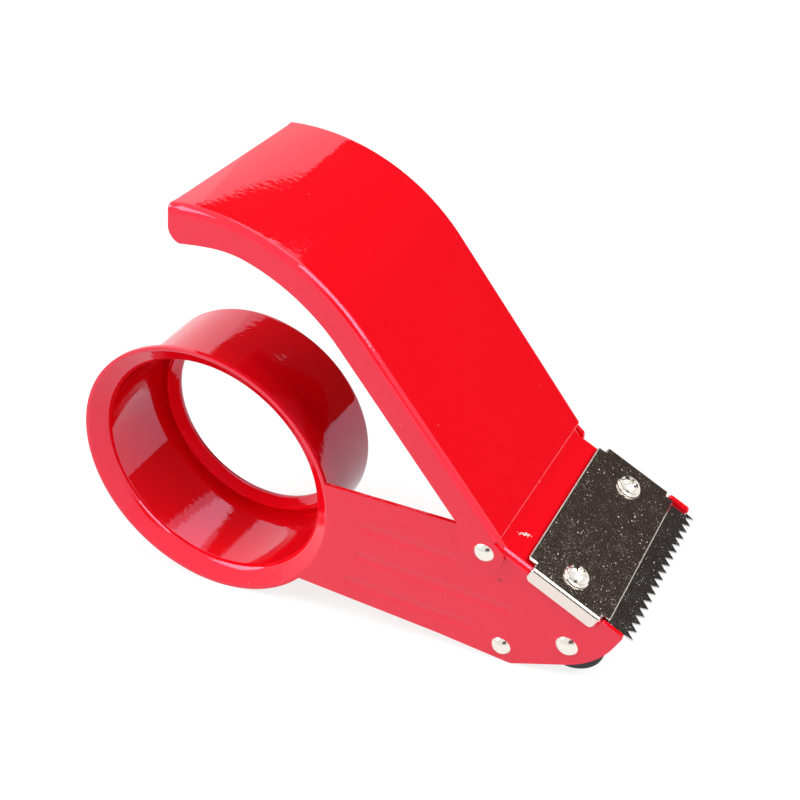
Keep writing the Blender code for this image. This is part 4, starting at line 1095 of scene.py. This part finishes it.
def softbox(name, azimuth, elevation, distance, width, height, brightness):
    """Lamp aimed at the object; its brightness is what it adds to a mirror, where 1 is white."""
    azimuth, elevation = radians(azimuth), radians(elevation)
    out = Vector((cos(elevation) * cos(azimuth), cos(elevation) * sin(azimuth), sin(elevation)))
    turn = out.to_track_quat("Z", "Y").to_matrix().to_4x4()
    lamp = bpy.data.lights.new(name, "AREA")
    lamp.shape = "RECTANGLE"
    lamp.size = width
    lamp.size_y = height
    lamp.energy = pi * width * height * brightness
    holder = bpy.data.objects.new(name, lamp)
    holder.matrix_world = Matrix.Translation(Vector((0, 0, AIM_HEIGHT)) + out * distance) @ turn
    bpy.context.scene.collection.objects.link(holder)
    return holder


def seen_by(tree):
    """1 for camera, glossy and transmission rays."""
    path = add(tree, "LightPath").outputs
    shiny = add(tree, "Math", {0: path["Is Camera Ray"], 1: path["Is Glossy Ray"]}, operation="MAXIMUM")
    return add(tree, "Math", {0: shiny, 1: path["Is Transmission Ray"]}, operation="MAXIMUM")


def bare_material(name):
    """Material without a shader; returns it with its tree."""
    material = bpy.data.materials.new(name)
    material.use_nodes = True
    material.node_tree.nodes.clear()
    return material, material.node_tree


def make_floor():
    """White floor: the lamps light its middle, so its glow rises away from it."""
    paper, tree = bare_material("white_paper_floor")
    shade = add(tree, "BsdfDiffuse", {"Color": (FLOOR_GREY, FLOOR_GREY, FLOOR_GREY, 1)})
    place = add(tree, "TexCoord").outputs["Object"]
    away = add(tree, "VectorMath", {0: place}, operation="LENGTH").outputs["Value"]
    rise = add(tree, "MapRange", {"Value": away, "From Min": GLOW_NEAR, "From Max": GLOW_FAR,
                                  "To Min": FLOOR_GLOW})
    level = add(tree, "Math", {0: seen_by(tree), 1: rise}, operation="MULTIPLY")
    glow = add(tree, "Emission", {"Color": (1, 1, 1, 1), "Strength": level})
    both = add(tree, "AddShader", {0: shade, 1: glow})
    add(tree, "OutputMaterial", {"Surface": both})
    mesh = bmesh.new()
    bmesh.ops.create_grid(mesh, x_segments=1, y_segments=1, size=FLOOR_SIZE / 2)
    bmesh.ops.translate(mesh, vec=(0, 0, -FLOOR_DROP), verts=mesh.verts)
    floor = loose_object("floor", mesh)
    floor.data.materials.append(paper)


def card_paper(name, brightness):
    material, tree = bare_material(name)
    dim = add(tree, "Emission", {"Color": CARD_COLOUR, "Strength": brightness})
    add(tree, "OutputMaterial", {"Surface": dim})
    return material


black_paper = card_paper("black_card", 0.06)
grey_paper = card_paper("dark_grey_card", 0.15)


def card(name, distance, corners, paper=black_paper):
    """Upright dark card from corners (azimuth, height), for mirrors only, as photographers use them."""
    mesh = bmesh.new()
    mesh.faces.new([mesh.verts.new((distance * cos(radians(azimuth)), distance * sin(radians(azimuth)), z))
                    for azimuth, z in corners])
    made = loose_object(name, mesh)
    made.data.materials.append(paper)
    for ray in ("camera", "diffuse", "transmission", "volume_scatter", "shadow"):
        setattr(made, "visible_" + ray, False)


make_floor()

# One dark wall behind, whose top rises to the left: the cover and the drum's back reflect it. Its last
# card hangs clear of the floor, so that the handle's rear end reflects the white below it.
card("card_behind_right", BACK_DISTANCE, [(38, 0), (60, 0), (60, 0.65), (38, 0.58)])
card("card_behind_middle", BACK_DISTANCE, [(60, 0), (74, 0), (74, 0.66), (60, 0.65)])
card("card_behind_left", BACK_DISTANCE, [(74, 0), (82, 0), (82, 0.725), (74, 0.66)])
card("card_behind_end", BACK_DISTANCE, [(82, 0), (103, 0), (103, 0.80), (82, 0.725)])
card("card_hung", BACK_DISTANCE, [(103, 0.62), (118, 0.568), (126.5, 0.52), (126.5, 0.80), (103, 0.80)])
# The camera's own dark side, for the domed heads and the cover's fold
card("card_by_camera", SIDE_DISTANCE, [(-76, 0.16), (-40, 0.13), (-38, 0.44), (-72, 0.46)], grey_paper)

# Lamps: azimuth, elevation, distance, width, height and brightness
softbox("softbox_high_behind", 74, 62, 1.0, 0.62, 0.55, 1.4)
softbox("panel_left", 140, 20, 0.70, 0.30, 0.60, 0.3)
softbox("key_left", -155, 42, 1.0, 0.70, 0.70, 4.9)
softbox("key_right", -5, 44, 1.1, 0.80, 0.80, 5.5)
front = softbox("key_front", -95, 8, 1.2, 0.60, 0.60, 6.3)
front.visible_glossy = False

world = bpy.context.scene.world or bpy.data.worlds.new("studio")
bpy.context.scene.world = world
world.use_nodes = True
tree = world.node_tree
tree.nodes.clear()
strength = add(tree, "MapRange", {"Value": seen_by(tree), "To Min": SKY_LIGHT, "To Max": 1.0})
air = add(tree, "Background", {"Color": (1, 1, 1, 1), "Strength": strength})
add(tree, "OutputWorld", {"Surface": air})

# Camera at the photograph's angle
lens = bpy.data.cameras.new("camera")
lens.lens = 61.6544
lens.sensor_width = 36
lens.clip_start = 0.01
camera = bpy.data.objects.new("camera", lens)
camera.matrix_world = Matrix(((0.893765, -0.175286, 0.412867, 0.171587),
                              (0.442131, 0.499292, -0.745136, -0.297131),
                              (-0.075529, 0.848518, 0.523749, 0.269733),
                              (0, 0, 0, 1)))
bpy.context.scene.collection.objects.link(camera)
bpy.context.scene.camera = camera
bpy.context.scene.view_settings.view_transform = "Standard"
